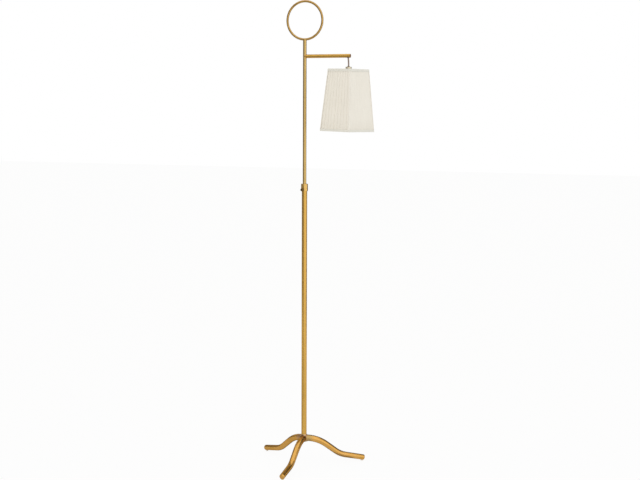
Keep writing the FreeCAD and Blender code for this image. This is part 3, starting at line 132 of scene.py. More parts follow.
class ShaderBench:
    """The node tree of one material or world, and the few ways in which its nodes are made."""

    def __init__(self, name: str, world: bool = False) -> None:
        """Starts an empty tree.

        Args:
            name: The name of the material or world.
            world: Whether the tree is a world's and not a material's.
        """
        self.output = "ShaderNodeOutputWorld" if world else "ShaderNodeOutputMaterial"
        self.owner = (bpy.data.worlds if world else bpy.data.materials).new(name)
        self.owner.use_nodes = True
        self.tree = self.owner.node_tree
        self.tree.nodes.clear()

    def node(self, kind: str, settings: dict | None = None, inputs: dict | None = None,
             output: int | str = 0) -> Signal:
        """Makes a node, sets it up, and then fills or links its sockets.

        Args:
            kind: The node's type.
            settings: Properties of the node; "stops" holds a ramp's places and colours.
            inputs: Socket names or numbers, with a value, a colour or a signal for each.
            output: The output that is wanted.

        Returns:
            The wanted output.
        """
        made = self.tree.nodes.new(kind)
        for name, value in (settings or {}).items():
            if name == "stops":
                self._set_stops(made.color_ramp, value)
            else:
                setattr(made, name, value)
        for name, value in (inputs or {}).items():
            socket = made.inputs[name]
            if isinstance(value, Signal):
                self.tree.links.new(value.socket, socket)
            else:
                socket.default_value = (*value, 1.0) if socket.type == "RGBA" else value
        return Signal(self, made.outputs[output])

    @staticmethod
    def _set_stops(ramp: bpy.types.ColorRamp, stops: Sequence[tuple[float, Colour]]) -> None:
        """Gives a ramp its places and colours.

        Args:
            ramp: The ramp.
            stops: Pairs of place and colour, from low to high.
        """
        while len(ramp.elements) < len(stops):
            ramp.elements.new(1.0)
        for element, (place, colour) in zip(ramp.elements, stops):
            element.position = place
            element.color = (*colour, 1.0)

    def place(self) -> Signal:
        """The object's own coordinates, in metres."""
        return self.node("ShaderNodeTexCoord", output="Object")

    def sheet_place(self) -> Signal:
        """The piece's own UV coordinates, in metres along the cloth."""
        return self.node("ShaderNodeTexCoord", output="UV")

    def turned(self, place: Signal, degrees: float) -> Signal:
        """Turns a place about the Z axis."""
        return self.node("ShaderNodeMapping", {"vector_type": "POINT"},
                         {"Vector": place, "Rotation": (0.0, 0.0, math.radians(degrees))})

    def stretched(self, place: Signal, factors: Triple) -> Signal:
        """Multiplies each of a place's numbers by its own factor."""
        return self.node("ShaderNodeVectorMath", {"operation": "MULTIPLY"}, {0: place, 1: factors})

    def distance(self, middle: Triple) -> Signal:
        """How far the surface is from a point, in metres."""
        return self.node("ShaderNodeVectorMath", {"operation": "DISTANCE"}, {0: self.place(), 1: middle},
                         output="Value")

    def noise(self, place: Signal, per_metre: float, detail: float = 3.0, rough: float = 0.5) -> Signal:
        """Soft noise near 0.5, of so many blots to a metre, with finer layers of some strength."""
        return self.node("ShaderNodeTexNoise", {"noise_dimensions": "3D"},
                         {"Vector": place, "Scale": per_metre, "Detail": detail, "Roughness": rough})

    def ramp(self, value: Signal, stops: Sequence[tuple[float, Colour]]) -> Signal:
        """Turns a value into a colour."""
        return self.node("ShaderNodeValToRGB", {"stops": stops}, {0: value})

    def blended(self, share: Signal | float, first: Signal | Colour, second: Signal | Colour) -> Signal:
        """Mixes two colours, with a share of the second."""
        return self.node("ShaderNodeMix", {"data_type": "RGBA"}, {0: share, 6: first, 7: second}, output=2)

    def bumped(self, height: Signal, depth: float, strength: float) -> Signal:
        """A surface normal from a height, where 1 stands for a depth in metres."""
        return self.node("ShaderNodeBump", {}, {"Height": height, "Distance": depth, "Strength": strength})

    def shown(self) -> Signal:
        """Tells what is seen, mirrored or looked at through glass from what only lights.

        Returns:
            1 for the first and 0 for the second.
        """
        ways = ("Is Camera Ray", "Is Glossy Ray", "Is Transmission Ray")
        seen, mirrored, through = (self.node("ShaderNodeLightPath", output=way) for way in ways)
        return (seen + mirrored + through).limited()

    def ended(self, shader: Signal) -> bpy.types.Material | bpy.types.World:
        """Links a shader to the tree's output.

        Args:
            shader: The shader.

        Returns:
            The finished material or world.
        """
        made = self.tree.nodes.new(self.output)
        self.tree.links.new(shader.socket, made.inputs["Surface"])
        return self.owner

    def surface(self, sockets: dict[str, object]) -> bpy.types.Material:
        """Ends the tree in a principled shader, given its sockets' values or signals by name."""
        return self.ended(self.node("ShaderNodeBsdfPrincipled", {}, sockets))


@dataclass(frozen=True)
class GiltFinish:
    """Burnished gilding on metal, with darker streaks along the work and soft worn patches."""

    name: str
    dark: Colour = (0.400, 0.195, 0.026)
    middle: Colour = (0.730, 0.415, 0.080)
    bright: Colour = (0.820, 0.485, 0.108)
    pale: Colour = (0.880, 0.620, 0.230)
    edge: Colour = (0.62, 0.44, 0.20)
    turn: float = 0.0
    stretch: Triple = (1.0, 1.0, 0.10)
    streaks_per_metre: float = 260.0
    patches_per_metre: float = 26.0
    specks_per_patch: float = 18.0
    streak_share: float = 1.1
    patch_share: float = 0.9
    wear: float = 0.8
    smooth: float = 0.24
    rough: float = 0.38
    depth: float = 0.16 * MM
    lacquer: float = 0.2
    lacquer_rough: float = 0.22
    pits: Sequence[Triple] = ()
    pit_radius: float = 2.0 * MM
    stain_and_shade: Colour = (0.0, 0.0, 0.0)
    stain_middle: Triple = (0.0, 0.0, 0.0)
    stain_reach: float = 0.0
    stain_rough: float = 0.22

    def material(self) -> bpy.types.Material:
        """Builds the finish.

        Returns:
            The material.
        """
        bench = ShaderBench(self.name)
        place = bench.turned(bench.place(), -self.turn)
        streak = bench.noise(bench.stretched(place, self.stretch), self.streaks_per_metre, 4.0, 0.6)
        patch = bench.noise(place, self.patches_per_metre, 3.0, 0.55)
        speck = bench.noise(place, self.patches_per_metre * self.specks_per_patch, 2.0)
        tone = ((streak - 0.5) * (self.streak_share * self.wear)
                + (patch - 0.5) * (self.patch_share * self.wear) + 0.5).limited()
        worn = bench.ramp(tone, ((0.0, self.dark), (0.30, self.middle), (0.68, self.bright),
                                 (1.0, self.pale)))
        spot = ((speck - 0.64) * 7.0).limited() * (0.5 * self.wear)
        pitted = self._pitted(bench)
        colour = bench.blended((spot + pitted).limited(), worn, self.dark)
        rough = self.smooth + (self.rough - self.smooth) * ((patch - 0.35) * 2.6).limited() + spot * 0.25
        # Darker near a point in the braze colour: part heat stain, part painted shade where a leg meets the
        # hub.
        if self.stain_reach:
            near = 1.0 - bench.distance(self.stain_middle) * (1.0 / self.stain_reach)
            stain_and_shade_mask = (near * 2.4 + (patch - 0.5) * 1.6).limited() * 0.85
            colour = bench.blended(stain_and_shade_mask, colour, self.stain_and_shade)
            rough = rough + stain_and_shade_mask * self.stain_rough
        height = streak * 0.35 + patch * 0.45 + speck * 0.20 - pitted * 2.0
        return bench.surface({
            "Base Color": colour,
            "Metallic": 1.0,
            "Roughness": rough,
            "Specular Tint": self.edge,
            "Coat Weight": self.lacquer,
            "Coat Roughness": self.lacquer_rough,
            "Normal": bench.bumped(height, self.depth, 0.55),
        })

    def _pitted(self, bench: ShaderBench) -> Signal | float:
        """Marks the small casting pits, by how near each one's middle is.

        Args:
            bench: The material's bench.

        Returns:
            1 in a pit and 0 away from it.
        """
        mark: Signal | float = 0.0
        for middle in self.pits:
            mark = mark + (1.6 - bench.distance(middle) * (1.0 / self.pit_radius)).limited()
        return mark


@dataclass(frozen=True)
class PlainMetalFinish:
    """Turned or drawn metal with a fine brushed grain about its axis."""

    name: str
    colour: Colour
    worn: Colour
    roughness: float = 0.32
    grain: Triple = (1.0, 1.0, 8.0)
    lines_per_metre: float = 700.0
    clouds_per_metre: float = 90.0
    depth: float = 0.06 * MM

    def material(self) -> bpy.types.Material:
        """Builds the finish.

        Returns:
            The material.
        """
        bench = ShaderBench(self.name)
        place = bench.place()
        line = bench.noise(bench.stretched(place, self.grain), self.lines_per_metre, 3.0, 0.6)
        cloud = bench.noise(place, self.clouds_per_metre)
        mixed = ((line - 0.5) * 0.9 + (cloud - 0.5) * 1.2 + 0.5).limited()
        return bench.surface({
            "Base Color": bench.blended(mixed, self.colour, self.worn),
            "Metallic": 1.0,
            "Roughness": self.roughness + (cloud - 0.5) * 0.22,
            "Normal": bench.bumped(line, self.depth, 0.4),
        })


@dataclass(frozen=True)
class MouldedFinish:
    """Moulded plastic, rubber, fibre or paint, with a fine pebble and faint clouding."""

    name: str
    colour: Colour
    shade: Colour
    roughness: float = 0.5
    pebbles_per_metre: float = 1600.0
    pebble_depth: float = 0.05 * MM
    clouds_per_metre: float = 60.0
    coat: float = 0.0

    def material(self) -> bpy.types.Material:
        """Builds the finish.

        Returns:
            The material.
        """
        bench = ShaderBench(self.name)
        place = bench.place()
        pebble = bench.noise(place, self.pebbles_per_metre, 2.0)
        cloud = bench.noise(place, self.clouds_per_metre, 3.0, 0.55)
        return bench.surface({
            "Base Color": bench.blended(((cloud - 0.3) * 2.2).limited(), self.colour, self.shade),
            "Roughness": self.roughness + (pebble - 0.5) * 0.16,
            "Coat Weight": self.coat,
            "Normal": bench.bumped(pebble, self.pebble_depth, 0.5),
        })


@dataclass(frozen=True)
class ClothFinish:
    """Plain woven silk or tape, with threads both ways, slubs and a soft sheen."""

    name: str
    colour: Colour
    shade: Colour
    threads_per_metre: float = 1500.0
    slub: float = 0.5
    depth: float = 0.12 * MM
    slubs_per_metre: float = 900.0
    crossings_per_metre: float = 700.0
    clouds_per_metre: float = 14.0
    drawn: float = 0.05
    sheen: float = 0.25
    # How strongly the cloth is painted darker towards its bottom rim, as shade, over the reach below.
    painted_bottom_shade: float = 0.0
    painted_bottom_shade_reach: float = 50.0 * MM

    def material(self) -> bpy.types.Material:
        """Builds the finish.

        Returns:
            The material.
        """
        bench = ShaderBench(self.name)
        flat = bench.sheet_place()
        turn = 2.0 * math.pi * self.threads_per_metre
        weave = (flat.part("X") * turn).wave() * 0.5 + (flat.part("Y") * turn).wave() * 0.5
        slub = bench.noise(bench.stretched(flat, (1.0, self.drawn, 1.0)), self.slubs_per_metre, 3.0, 0.6)
        cross = bench.noise(bench.stretched(flat, (self.drawn, 1.0, 1.0)), self.crossings_per_metre, 3.0, 0.6)
        cloud = bench.noise(bench.place(), self.clouds_per_metre)
        # Painted shade: the cloth gets darker towards its bottom rim.
        bottom_shade_tone = (1.0 - flat.part("Y") * (1.0 / self.painted_bottom_shade_reach)).limited() * self.painted_bottom_shade
        tone = ((slub - 0.5) * self.slub * 1.6 + (cross - 0.5) * self.slub + (cloud - 0.5) * 0.8
                + bottom_shade_tone + 0.42).limited()
        height = weave * 0.45 + slub * 0.35 + cross * 0.20
        return bench.surface({
            "Base Color": bench.blended(tone, self.colour, self.shade),
            "Roughness": 0.80 + (weave - 0.5) * 0.12,
            "Sheen Weight": self.sheen,
            "Normal": bench.bumped(height, self.depth, 0.6),
        })


@dataclass(frozen=True)
class BraidFinish:
    """A round textile braid: two sets of strands that wind opposite ways round the cord."""

    name: str
    colour: Colour
    shade: Colour
    middle: tuple[float, float]
    strands: float = 8.0
    lays_per_metre: float = 260.0
    hairs_per_metre: float = 1900.0
    depth: float = 0.30 * MM
    sheen: float = 0.2

    def material(self) -> bpy.types.Material:
        """Builds the finish.

        Returns:
            The material.
        """
        bench = ShaderBench(self.name)
        place = bench.place()
        along, across = place.part("X") - self.middle[0], place.part("Y") - self.middle[1]
        angle = across.angle_from(along) * self.strands
        climb = place.part("Z") * (2.0 * math.pi * self.lays_per_metre)
        braid = (angle + climb).wave() * (angle - climb).wave()
        fuzz = bench.noise(place, self.hairs_per_metre, 3.0, 0.6)
        tone = (braid * 1.1 + (fuzz - 0.5) * 0.7).limited()
        return bench.surface({
            "Base Color": bench.blended(tone, self.shade, self.colour),
            "Roughness": 0.82 + (fuzz - 0.5) * 0.15,
            "Sheen Weight": self.sheen,
            "Normal": bench.bumped(braid * 0.8 + fuzz * 0.2, self.depth, 0.7),
        })


@dataclass(frozen=True)
class FrostedGlassFinish:
    """Bulb glass, frosted white from the inside."""

    name: str
    colour: Colour
    cloudy: Colour
    clouds_per_metre: float = 45.0
    gloss: float = 0.5
    gloss_rough: float = 0.06

    def material(self) -> bpy.types.Material:
        """Builds the finish.

        Returns:
            The material.
        """
        bench = ShaderBench(self.name)
        cloud = bench.noise(bench.place(), self.clouds_per_metre, 2.0)
        return bench.surface({
            "Base Color": bench.blended(cloud, self.colour, self.cloudy),
            "Roughness": 0.16 + (cloud - 0.5) * 0.10,
            "Coat Weight": self.gloss,
            "Coat Roughness": self.gloss_rough,
        })


Finish = GiltFinish | PlainMetalFinish | MouldedFinish | FrostedGlassFinish


def deselect_all() -> None:
    """Leaves nothing selected, so that an operator acts on new work alone."""
    bpy.ops.object.select_all(action="DESELECT")


def pick(piece: bpy.types.Object) -> None:
    """Selects one object alone and makes it the active one.

    Args:
        piece: The object.
    """
    deselect_all()
    piece.select_set(True)
    bpy.context.view_layer.objects.active = piece


def smooth(piece: bpy.types.Object, degrees: float) -> None:
    """Shades a piece smooth, apart from folds sharper than an angle."""
    pick(piece)
    bpy.ops.object.shade_smooth_by_angle(angle=math.radians(degrees))


def placed(name: str, data: bpy.types.ID) -> bpy.types.Object:
    """Puts a mesh, a curve, a camera or a light into the scene.

    Args:
        name: The object's name.
        data: What it shows.

    Returns:
        The object.
    """
    made = bpy.data.objects.new(name, data)
    bpy.context.scene.collection.objects.link(made)
    return made


def round_bar(name: str, kind: str, radius: float, count: int, roundness: int) -> bpy.types.Curve:
    """A curve with a round section and one spline, whose points are still to be placed.

    Args:
        name: The curve's name.
        kind: The spline's type.
        radius: The section's radius.
        count: How many points the spline has.
        roundness: How finely the section is divided.

    Returns:
        The curve.
    """
    curve = bpy.data.curves.new(name, "CURVE")
    curve.dimensions = "3D"
    curve.bevel_depth = radius
    curve.bevel_resolution = roundness
    curve.splines.new(kind).points.add(count - 1)
    return curve


def saddle_bead(name: str, host: float, branch: float, radius: float, place: Matrix) -> bpy.types.Object:
    """A bead of braze along the line where a round bar meets a round post.

    Args:
        name: The bead's name.
        host: The post's radius.
        branch: The bar's radius.
        radius: The bead's own radius.
        place: Takes the bead, made for a post along Z and a bar along X, to its place.

    Returns:
        The bead, as a mesh.
    """
    steps, thinnest, spread = 48, 0.85, 0.3
    curve = round_bar(name, "POLY", radius, steps, 3)
    spline = curve.splines[0]
    spline.use_cyclic_u = True
    draw = random.Random(name)
    for number, point in enumerate(spline.points):
        angle = 2.0 * math.pi * number / steps
        across = branch * math.sin(angle)
        spot = Vector((math.sqrt(max(host ** 2 - across ** 2, 0.0)), across, branch * math.cos(angle)))
        point.co = (*(place @ spot), 1.0)
        point.radius = thinnest + spread * draw.random()
    pick(placed(name, curve))
    bpy.ops.object.convert(target="MESH")
    bead = bpy.context.view_layer.objects.active
    smooth(bead, 60.0)
    return bead


def skin(mesh: bmesh.types.BMesh, lower: Corners, upper: Corners, runs: Sequence[float],
         rises: tuple[float, float], inward: bool = False) -> None:
    """Joins two closed rows of corners by faces, each with its place on the flat cloth.

    Args:
        mesh: The mesh, which has one UV layer.
        lower: The lower row.
        upper: The upper row.
        runs: How far along the cloth each corner lies, and the whole way round.
        rises: How far up the cloth the two rows lie.
        inward: Whether the faces look inwards.
    """
    low, high = rises
    layer = mesh.loops.layers.uv.active
    for column in range(len(lower)):
        first, last = (column + 1, column) if inward else (column, column + 1)
        left, right = first % len(lower), last % len(lower)
        face = mesh.faces.new((lower[left], lower[right], upper[right], upper[left]))
        spots = ((runs[first], low), (runs[last], low), (runs[last], high), (runs[first], high))
        for loop, spot in zip(face.loops, spots):
            loop[layer].uv = spot


def measured(line: Sequence[Vector]) -> list[float]:
    """Measures a closed line.

    Args:
        line: Its points.

    Returns:
        Its length up to each point, and once round.
    """
    runs = [0.0]
    for number, spot in enumerate(line):
        runs.append(runs[-1] + (line[(number + 1) % len(line)] - spot).length)
    return runs


def cloth_mesh() -> bmesh.types.BMesh:
    """Starts a mesh with a layer for the cloth's own coordinates.

    Returns:
        The mesh.
    """
    mesh = bmesh.new()
    mesh.loops.layers.uv.new("cloth")
    return mesh


def finish_mesh(name: str, mesh: bmesh.types.BMesh, degrees: float) -> bpy.types.Object:
    """Turns a bmesh into a smooth-shaded object with its faces outwards.

    Args:
        name: The piece's name.
        mesh: The bmesh, which is freed.
        degrees: Folds sharper than this stay sharp.

    Returns:
        The object.
    """
    bmesh.ops.recalc_face_normals(mesh, faces=mesh.faces)
    data = bpy.data.meshes.new(name)
    mesh.to_mesh(data)
    mesh.free()
    piece = placed(name, data)
    smooth(piece, degrees)
    return piece


def dress(finishes: Sequence[tuple[Finish, Sequence[str]]]) -> None:
    """Gives CAD nodes their materials.

    Args:
        finishes: Each finish, with the names of the nodes that wear it.
    """
    for finish, nodes in finishes:
        material = finish.material()
        for name in nodes:
            worn = frame["nodes"][name].data.materials
            worn.clear()
            worn.append(material)
        LOG.info("%s: %s", material.name, ", ".join(nodes))


def carry(piece: bpy.types.Object, body: Body, material: bpy.types.Material,
          replaced: Sequence[str] = ()) -> None:
    """Finishes a new piece: its material, the body that it rides on, and the nodes that it stands for.

    Args:
        piece: The piece.
        body: The body.
        material: The material.
        replaced: The CAD nodes that it replaces.
    """
    piece.data.materials.clear()
    piece.data.materials.append(material)
    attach(piece, body.value)
    if replaced:
        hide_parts(*replaced)
    LOG.info("piece %s rides on %s", piece.name, body.value)


def joint(name: str) -> dict:
    """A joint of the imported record, by its name."""
    return next(entry for entry in frame["joints"] if entry["name"] == name)


def middle_height(node: str) -> float:
    """The height of a CAD node's middle over the floor."""
    low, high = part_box(node)
    return (low.z + high.z) / 2.0


@dataclass(frozen=True)
class ShadedBraze:
    """One leg's braze colours, darkest to brightest, which also tint its root; each leg's set is lighter or
    darker as painted shade.
    """

    dark: Colour
    middle: Colour
    bright: Colour


@dataclass
class Tripod:
    """Three S-curved legs, brazed to the hub that holds the lower tube."""

    leg_turn: float = 32.7
    leg_step: float = 120.0
    leg_radius: float = 11.7 * MM
    hub_radius: float = 12.1 * MM
    bead_radius: float = 1.3 * MM
    root_pits: Sequence[Triple] = ((0.0173, -0.0022, 0.0975), (0.0216, 0.0008, 0.0907))
    stain_reach: float = 36.0 * MM
    # The same braze on each leg, painted lighter on the right leg and much darker on the front one, as shade.
    braze: dict[str, ShadedBraze] = field(default_factory=lambda: {
        "right": ShadedBraze((0.30, 0.17, 0.06), (0.60, 0.41, 0.15), (0.76, 0.56, 0.28)),
        "left": ShadedBraze((0.28, 0.15, 0.08), (0.60, 0.36, 0.21), (0.74, 0.48, 0.30)),
        "front": ShadedBraze((0.12, 0.05, 0.02), (0.30, 0.145, 0.05), (0.42, 0.22, 0.09)),
    })

    def build(self) -> None:
        """Dresses the base's nodes and adds the brazed beads."""
        for number, (name, braze) in enumerate(self.braze.items()):
            self._leg(name, self.leg_turn + self.leg_step * number, braze)
        dress((
            (GiltFinish("gilt_tube", stretch=(1.0, 1.0, 0.05), wear=0.30, depth=0.03 * MM, lacquer=0.3),
             ["lower_tube"]),
            # The hub's patches range over the legs' braze colours, which carry painted shade.
            (GiltFinish("gilt_hub", dark=self.braze["front"].middle, middle=self.braze["left"].middle,
                        bright=self.braze["right"].bright, stretch=EVEN, patches_per_metre=70.0,
                        wear=1.3, rough=0.5), ["hub"]),
            (PlainMetalFinish("zinc_plate", (0.55, 0.56, 0.57), (0.40, 0.41, 0.43)),
             ["tube_insert", "hub_nipple", "hub_washer", "hub_nut", "pendant_nipple", "lock_nut",
              "grip_screw"]),
            (MouldedFinish("pad_rubber", (0.84, 0.82, 0.77), (0.76, 0.74, 0.68), 0.6),
             ["foot_pad_" + name for name in self.braze]),
            (MouldedFinish("lead_sheath", (0.17, 0.12, 0.08), (0.12, 0.085, 0.055), 0.45),
             ["lower_lead", "mast_lead", "pendant_lead"]),
            (MouldedFinish("dark_bush", (0.125, 0.085, 0.040), (0.080, 0.055, 0.028), 0.4),
             ["lead_bush", "outlet_bush", "cord_bush"]),
        ))

    def _leg(self, name: str, turn: float, braze: ShadedBraze) -> None:
        """Gilds one leg and brazes it to the hub.

        Args:
            name: The leg's name.
            turn: Its direction, in degrees.
            braze: The colours of its braze, lighter or darker per leg as painted shade, which also tint its
                root.
        """
        # The root near the hub takes this leg's braze colour: partly heat stain, partly painted shade.
        gilt = GiltFinish("gilt_leg_" + name, middle=(0.780, 0.420, 0.090), bright=(0.890, 0.490, 0.135),
                          pale=(0.930, 0.640, 0.290), turn=turn, stretch=(0.12, 1.0, 0.8),
                          streaks_per_metre=210.0, patches_per_metre=22.0, smooth=0.18, rough=0.32,
                          pits=self.root_pits if name == "right" else (), stain_and_shade=braze.middle,
                          stain_middle=(0.0, 0.0, middle_height("hub")), stain_reach=self.stain_reach)
        dress([(gilt, ["leg_" + name])])
        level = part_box("leg_" + name)[1].z - self.leg_radius
        place = Matrix.Translation((0.0, 0.0, level)) @ Matrix.Rotation(math.radians(turn), 4, "Z")
        bead = saddle_bead("braze_leg_" + name, self.hub_radius, self.leg_radius, self.bead_radius, place)
        # The bead takes this leg's braze set, lighter or darker as painted shade.
        shaded_braze_finish = GiltFinish("gilt_braze_" + name, dark=braze.dark, middle=braze.middle, bright=braze.bright,
                             pale=braze.bright, stretch=EVEN, patches_per_metre=90.0, wear=1.2, rough=0.6)
        carry(bead, Body.BASE, shaded_braze_finish.material())


@dataclass
class Mast:
    """The upper tube with its ring and arm, and the clamp that holds it."""

    tube_radius: float = 6.35 * MM
    bead_radius: float = 0.9 * MM
    ring_bead: float = 5.5 * MM

    def build(self) -> None:
        """Dresses the mast's nodes and adds the brazed beads."""
        dress((
            (GiltFinish("gilt_mast", dark=(0.420, 0.250, 0.060), middle=(0.660, 0.420, 0.120),
                        bright=(0.760, 0.540, 0.210), pale=(0.870, 0.710, 0.400), stretch=(1.0, 1.0, 0.05),
                        streaks_per_metre=300.0, wear=0.30, depth=0.03 * MM, lacquer=0.25), ["mast_tube"]),
            (GiltFinish("gilt_arm", stretch=(0.05, 1.0, 1.0), streaks_per_metre=300.0, wear=0.4,
                        depth=0.08 * MM), ["arm_tube"]),
            (GiltFinish("gilt_ring", middle=(0.540, 0.320, 0.085), bright=(0.690, 0.430, 0.130),
                        stretch=EVEN, streaks_per_metre=60.0, patches_per_metre=30.0, wear=0.5,
                        depth=0.06 * MM), ["ring_finial"]),
            (GiltFinish("gilt_clamp", middle=(0.760, 0.450, 0.110), bright=(0.870, 0.570, 0.190),
                        pale=(0.930, 0.680, 0.320), stretch=(1.0, 1.0, 0.3), wear=0.4, smooth=0.20,
                        rough=0.32, depth=0.08 * MM), ["collar"]),
            (PlainMetalFinish("thumbscrew_bronze", (0.290, 0.200, 0.080), (0.190, 0.125, 0.050), 0.36),
             ["thumbscrew"]),
            (MouldedFinish("nylon", (0.74, 0.70, 0.62), (0.66, 0.61, 0.52), 0.42),
             ["guide_bush", "pressure_pad"]),
            (MouldedFinish("dark_plug", (0.235, 0.115, 0.060), (0.165, 0.078, 0.040), 0.42, coat=0.2),
             ["arm_end_plug"]),
        ))
        braze = GiltFinish("gilt_braze_mast", middle=(0.56, 0.300, 0.095), bright=(0.70, 0.42, 0.15),
                           stretch=EVEN, patches_per_metre=60.0).material()
        place = Matrix.Translation((0.0, 0.0, middle_height("arm_tube")))
        arm = saddle_bead("braze_arm", self.tube_radius, self.tube_radius, self.bead_radius, place)
        carry(arm, Body.MAST, braze)
        carry(self._ring_bead(), Body.MAST, braze)

    def _ring_bead(self) -> bpy.types.Object:
        """A bead of braze where the ring's spigot enters the mast's open end.

        Returns:
            The bead.
        """
        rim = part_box("mast_tube")[1].z
        deselect_all()
        bpy.ops.mesh.primitive_torus_add(location=(0.0, 0.0, rim - self.bead_radius), major_segments=40,
                                         minor_segments=12, major_radius=self.ring_bead,
                                         minor_radius=self.bead_radius)
        bead = bpy.context.view_layer.objects.active
        bead.name = "braze_ring"
        bpy.ops.object.transform_apply(location=True, rotation=True, scale=True)
        smooth(bead, 60.0)
        return bead


@dataclass
class DropCord:
    """The short cord that carries the shade, with the steps of its route in millimetres."""

    radius: float = 2.65 * MM
    length: float = 33.2 * MM
    steps: Sequence[tuple[float, float]] = (
        (0.0, 0.0),
        (0.75, -7.6),
        (1.4, -15.6),
        (1.8, -24.4),
        (1.7, -33.1),
    )

    def build(self) -> None:
        """Draws the cord on one smooth line from the outlet to the cap."""
        outlet = Vector(joint("swing_along")["pos_m"])
        curve = round_bar("drop_cord_braid", "NURBS", self.radius, len(self.steps), 8)
        curve.use_fill_caps = True
        curve.resolution_u = 12
        spline = curve.splines[0]
        for point, (across, up) in zip(spline.points, self.steps):
            point.co = (outlet.x + across * MM, outlet.y, outlet.z + up * MM, 1.0)
        spline.order_u = 3
        spline.use_endpoint_u = True
        cord = placed("drop_cord_braid", curve)
        middle = (outlet.x + self.steps[2][0] * MM, 0.0)
        finish = BraidFinish("cord_braid", (0.40, 0.315, 0.275), (0.20, 0.145, 0.125), middle)
        carry(cord, Body.CORD, finish.material(), ["drop_cord"])
        2 * self.radius


@dataclass
class Shade:
    """The square pleated shade: cover, bands and corner tapes, hung under its cap.

    A level is 0 at the bottom rim and 1 at the top one. A fold's places are its share of one
    pleat's width and how deep it lies, where 1 is the bottom of the pleat.
    """

    lean: float = 1.2
    turn: float = -20.5
    top_drop: float = 8.0 * MM
    height: float = 218.0 * MM
    top_half: float = 51.7 * MM
    bottom_half: float = 68.4 * MM
    sides: int = 4
    pleats: int = 9
    pleat_depth: float = 1.0 * MM
    cloth_back: float = 0.45 * MM
    bulge: float = 0.10 * MM
    tape: float = 0.7 * MM
    tape_gap: float = 0.1 * MM
    tape_rows: int = 20
    tape_stride: tuple[float, float] = (1.0 * MM, 10.0 * MM)
    tape_width: float = 4.0 * MM
    liner_inside: float = 3.8 * MM
    levels: int = 25
    top_band: float = 9.0 * MM
    bottom_band: float = 8.0 * MM
    band_cloth: float = 0.4 * MM
    turned_in: float = 1.5 * MM
    edge_round: float = 1.2 * MM
    least_round: float = 0.15 * MM
    lean_spread: float = 0.022
    wave_spread: float = 0.016
    swell_spread: float = 0.25
    swell_loss: float = 0.20
    straight_steps: int = 10
    round_steps: int = 5
    fold: Sequence[tuple[float, float]] = (
        (0.000, 0.03), (0.065, 0.00), (0.128, 0.02), (0.152, 0.15), (0.154, 0.40), (0.138, 0.70),
        (0.136, 1.00), (0.180, 0.92), (0.360, 0.60), (0.580, 0.33), (0.800, 0.13),
    )
    draw: random.Random = field(default_factory=lambda: random.Random(27))

    def __post_init__(self) -> None:
        """Works out where the pendant hangs, and the turn that takes the first side to each."""
        base = Vector(joint("shade_turn")["pos_m"])
        leaned = Matrix.Rotation(math.radians(self.lean), 4, "Y")
        spun = Matrix.Rotation(math.radians(self.turn), 4, "Z")
        self.hang = Matrix.Translation(base) @ leaned @ spun
        self.turns = [Matrix.Rotation(math.radians(360.0 / self.sides * side), 4, "Z")
                      for side in range(self.sides)]

    def half(self, level: float) -> float:
        """Half of the shade's outer side at a level."""
        return self.bottom_half + (self.top_half - self.bottom_half) * level

    def depth(self, level: float) -> float:
        """The pendant's own height of a level."""
        return -self.top_drop - self.height * (1.0 - level)

    def build(self) -> None:
        """Makes the soft pieces and dresses the frame."""
        weave = {"threads_per_metre": 1100.0, "slub": 0.3, "depth": 0.15 * MM}
        # The silk is painted darker towards its bottom rim, as shade.
        silk = ClothFinish("pleated_silk", (0.820, 0.782, 0.706), (0.748, 0.704, 0.622), painted_bottom_shade=0.55)
        tape = ClothFinish("trim_tape", (0.735, 0.715, 0.648), (0.670, 0.652, 0.588), **weave).material()
        corner = ClothFinish("corner_tape", (0.798, 0.762, 0.686), (0.738, 0.698, 0.620), **weave)
        top, bottom, down, up = 1.0, 0.0, -1.0, 1.0
        for piece, slot, material, node in (
            (self._cover(), Slot.SILK, silk.material(), "shade_cover"),
            (self._band("top_band", top, down, self.top_band), Slot.TAPE, tape, "top_trim"),
            (self._band("bottom_band", bottom, up, self.bottom_band), Slot.TAPE, tape, "bottom_trim"),
            (self._corner_tapes(), Slot.TAPE, corner.material(), "corner_trim"),
        ):
            carry(piece, Body.SHADE, material, [node])
        dress((
            (MouldedFinish("liner_film", (0.86, 0.84, 0.79), (0.82, 0.80, 0.74), 0.55, 900.0, 0.02 * MM),
             ["shade_liner"]),
            (MouldedFinish("wire_paint", (0.82, 0.81, 0.77), (0.74, 0.72, 0.67), 0.32, coat=0.3),
             ["shade_spider", "bottom_wire", "corner_ribs"]),
            (GiltFinish("cap_gilt", dark=(0.50, 0.40, 0.24), middle=(0.72, 0.61, 0.42),
                        bright=(0.82, 0.73, 0.54), pale=(0.90, 0.85, 0.72), edge=(0.8, 0.7, 0.5),
                        stretch=EVEN, streaks_per_metre=120.0, smooth=0.28, rough=0.42), ["shade_cap"]),
        ))

    def _cover(self) -> bpy.types.Object:
        """Folds the cloth into knife pleats, with the small unevenness of hand work.

        Returns:
            The cover.
        """
        sway = [[self.draw.uniform(-1.0, 1.0) for _ in range(4)] for _ in range(self.sides * self.pleats)]
        mesh = cloth_mesh()
        top = self.levels - 1
        outside, inside = [], []
        for row in range(self.levels):
            front, back = self._row(row / top, sway)
            outside.append([mesh.verts.new(self.hang @ spot) for spot in front])
            inside.append([mesh.verts.new(self.hang @ spot) for spot in back])
        flat = [[0.0] * 4] * (self.sides * self.pleats)
        runs = measured(self._row(0.5, flat)[0])
        rises = [self.height * row / top for row in range(self.levels)]
        for row in range(top):
            for layer, inward in ((outside, False), (inside, True)):
                skin(mesh, layer[row], layer[row + 1], runs, (rises[row], rises[row + 1]), inward)
        for row, inward in ((0, True), (top, False)):
            skin(mesh, outside[row], inside[row], runs, (rises[row], rises[row]), inward)
        return finish_mesh("pleated_cover", mesh, 38.0)

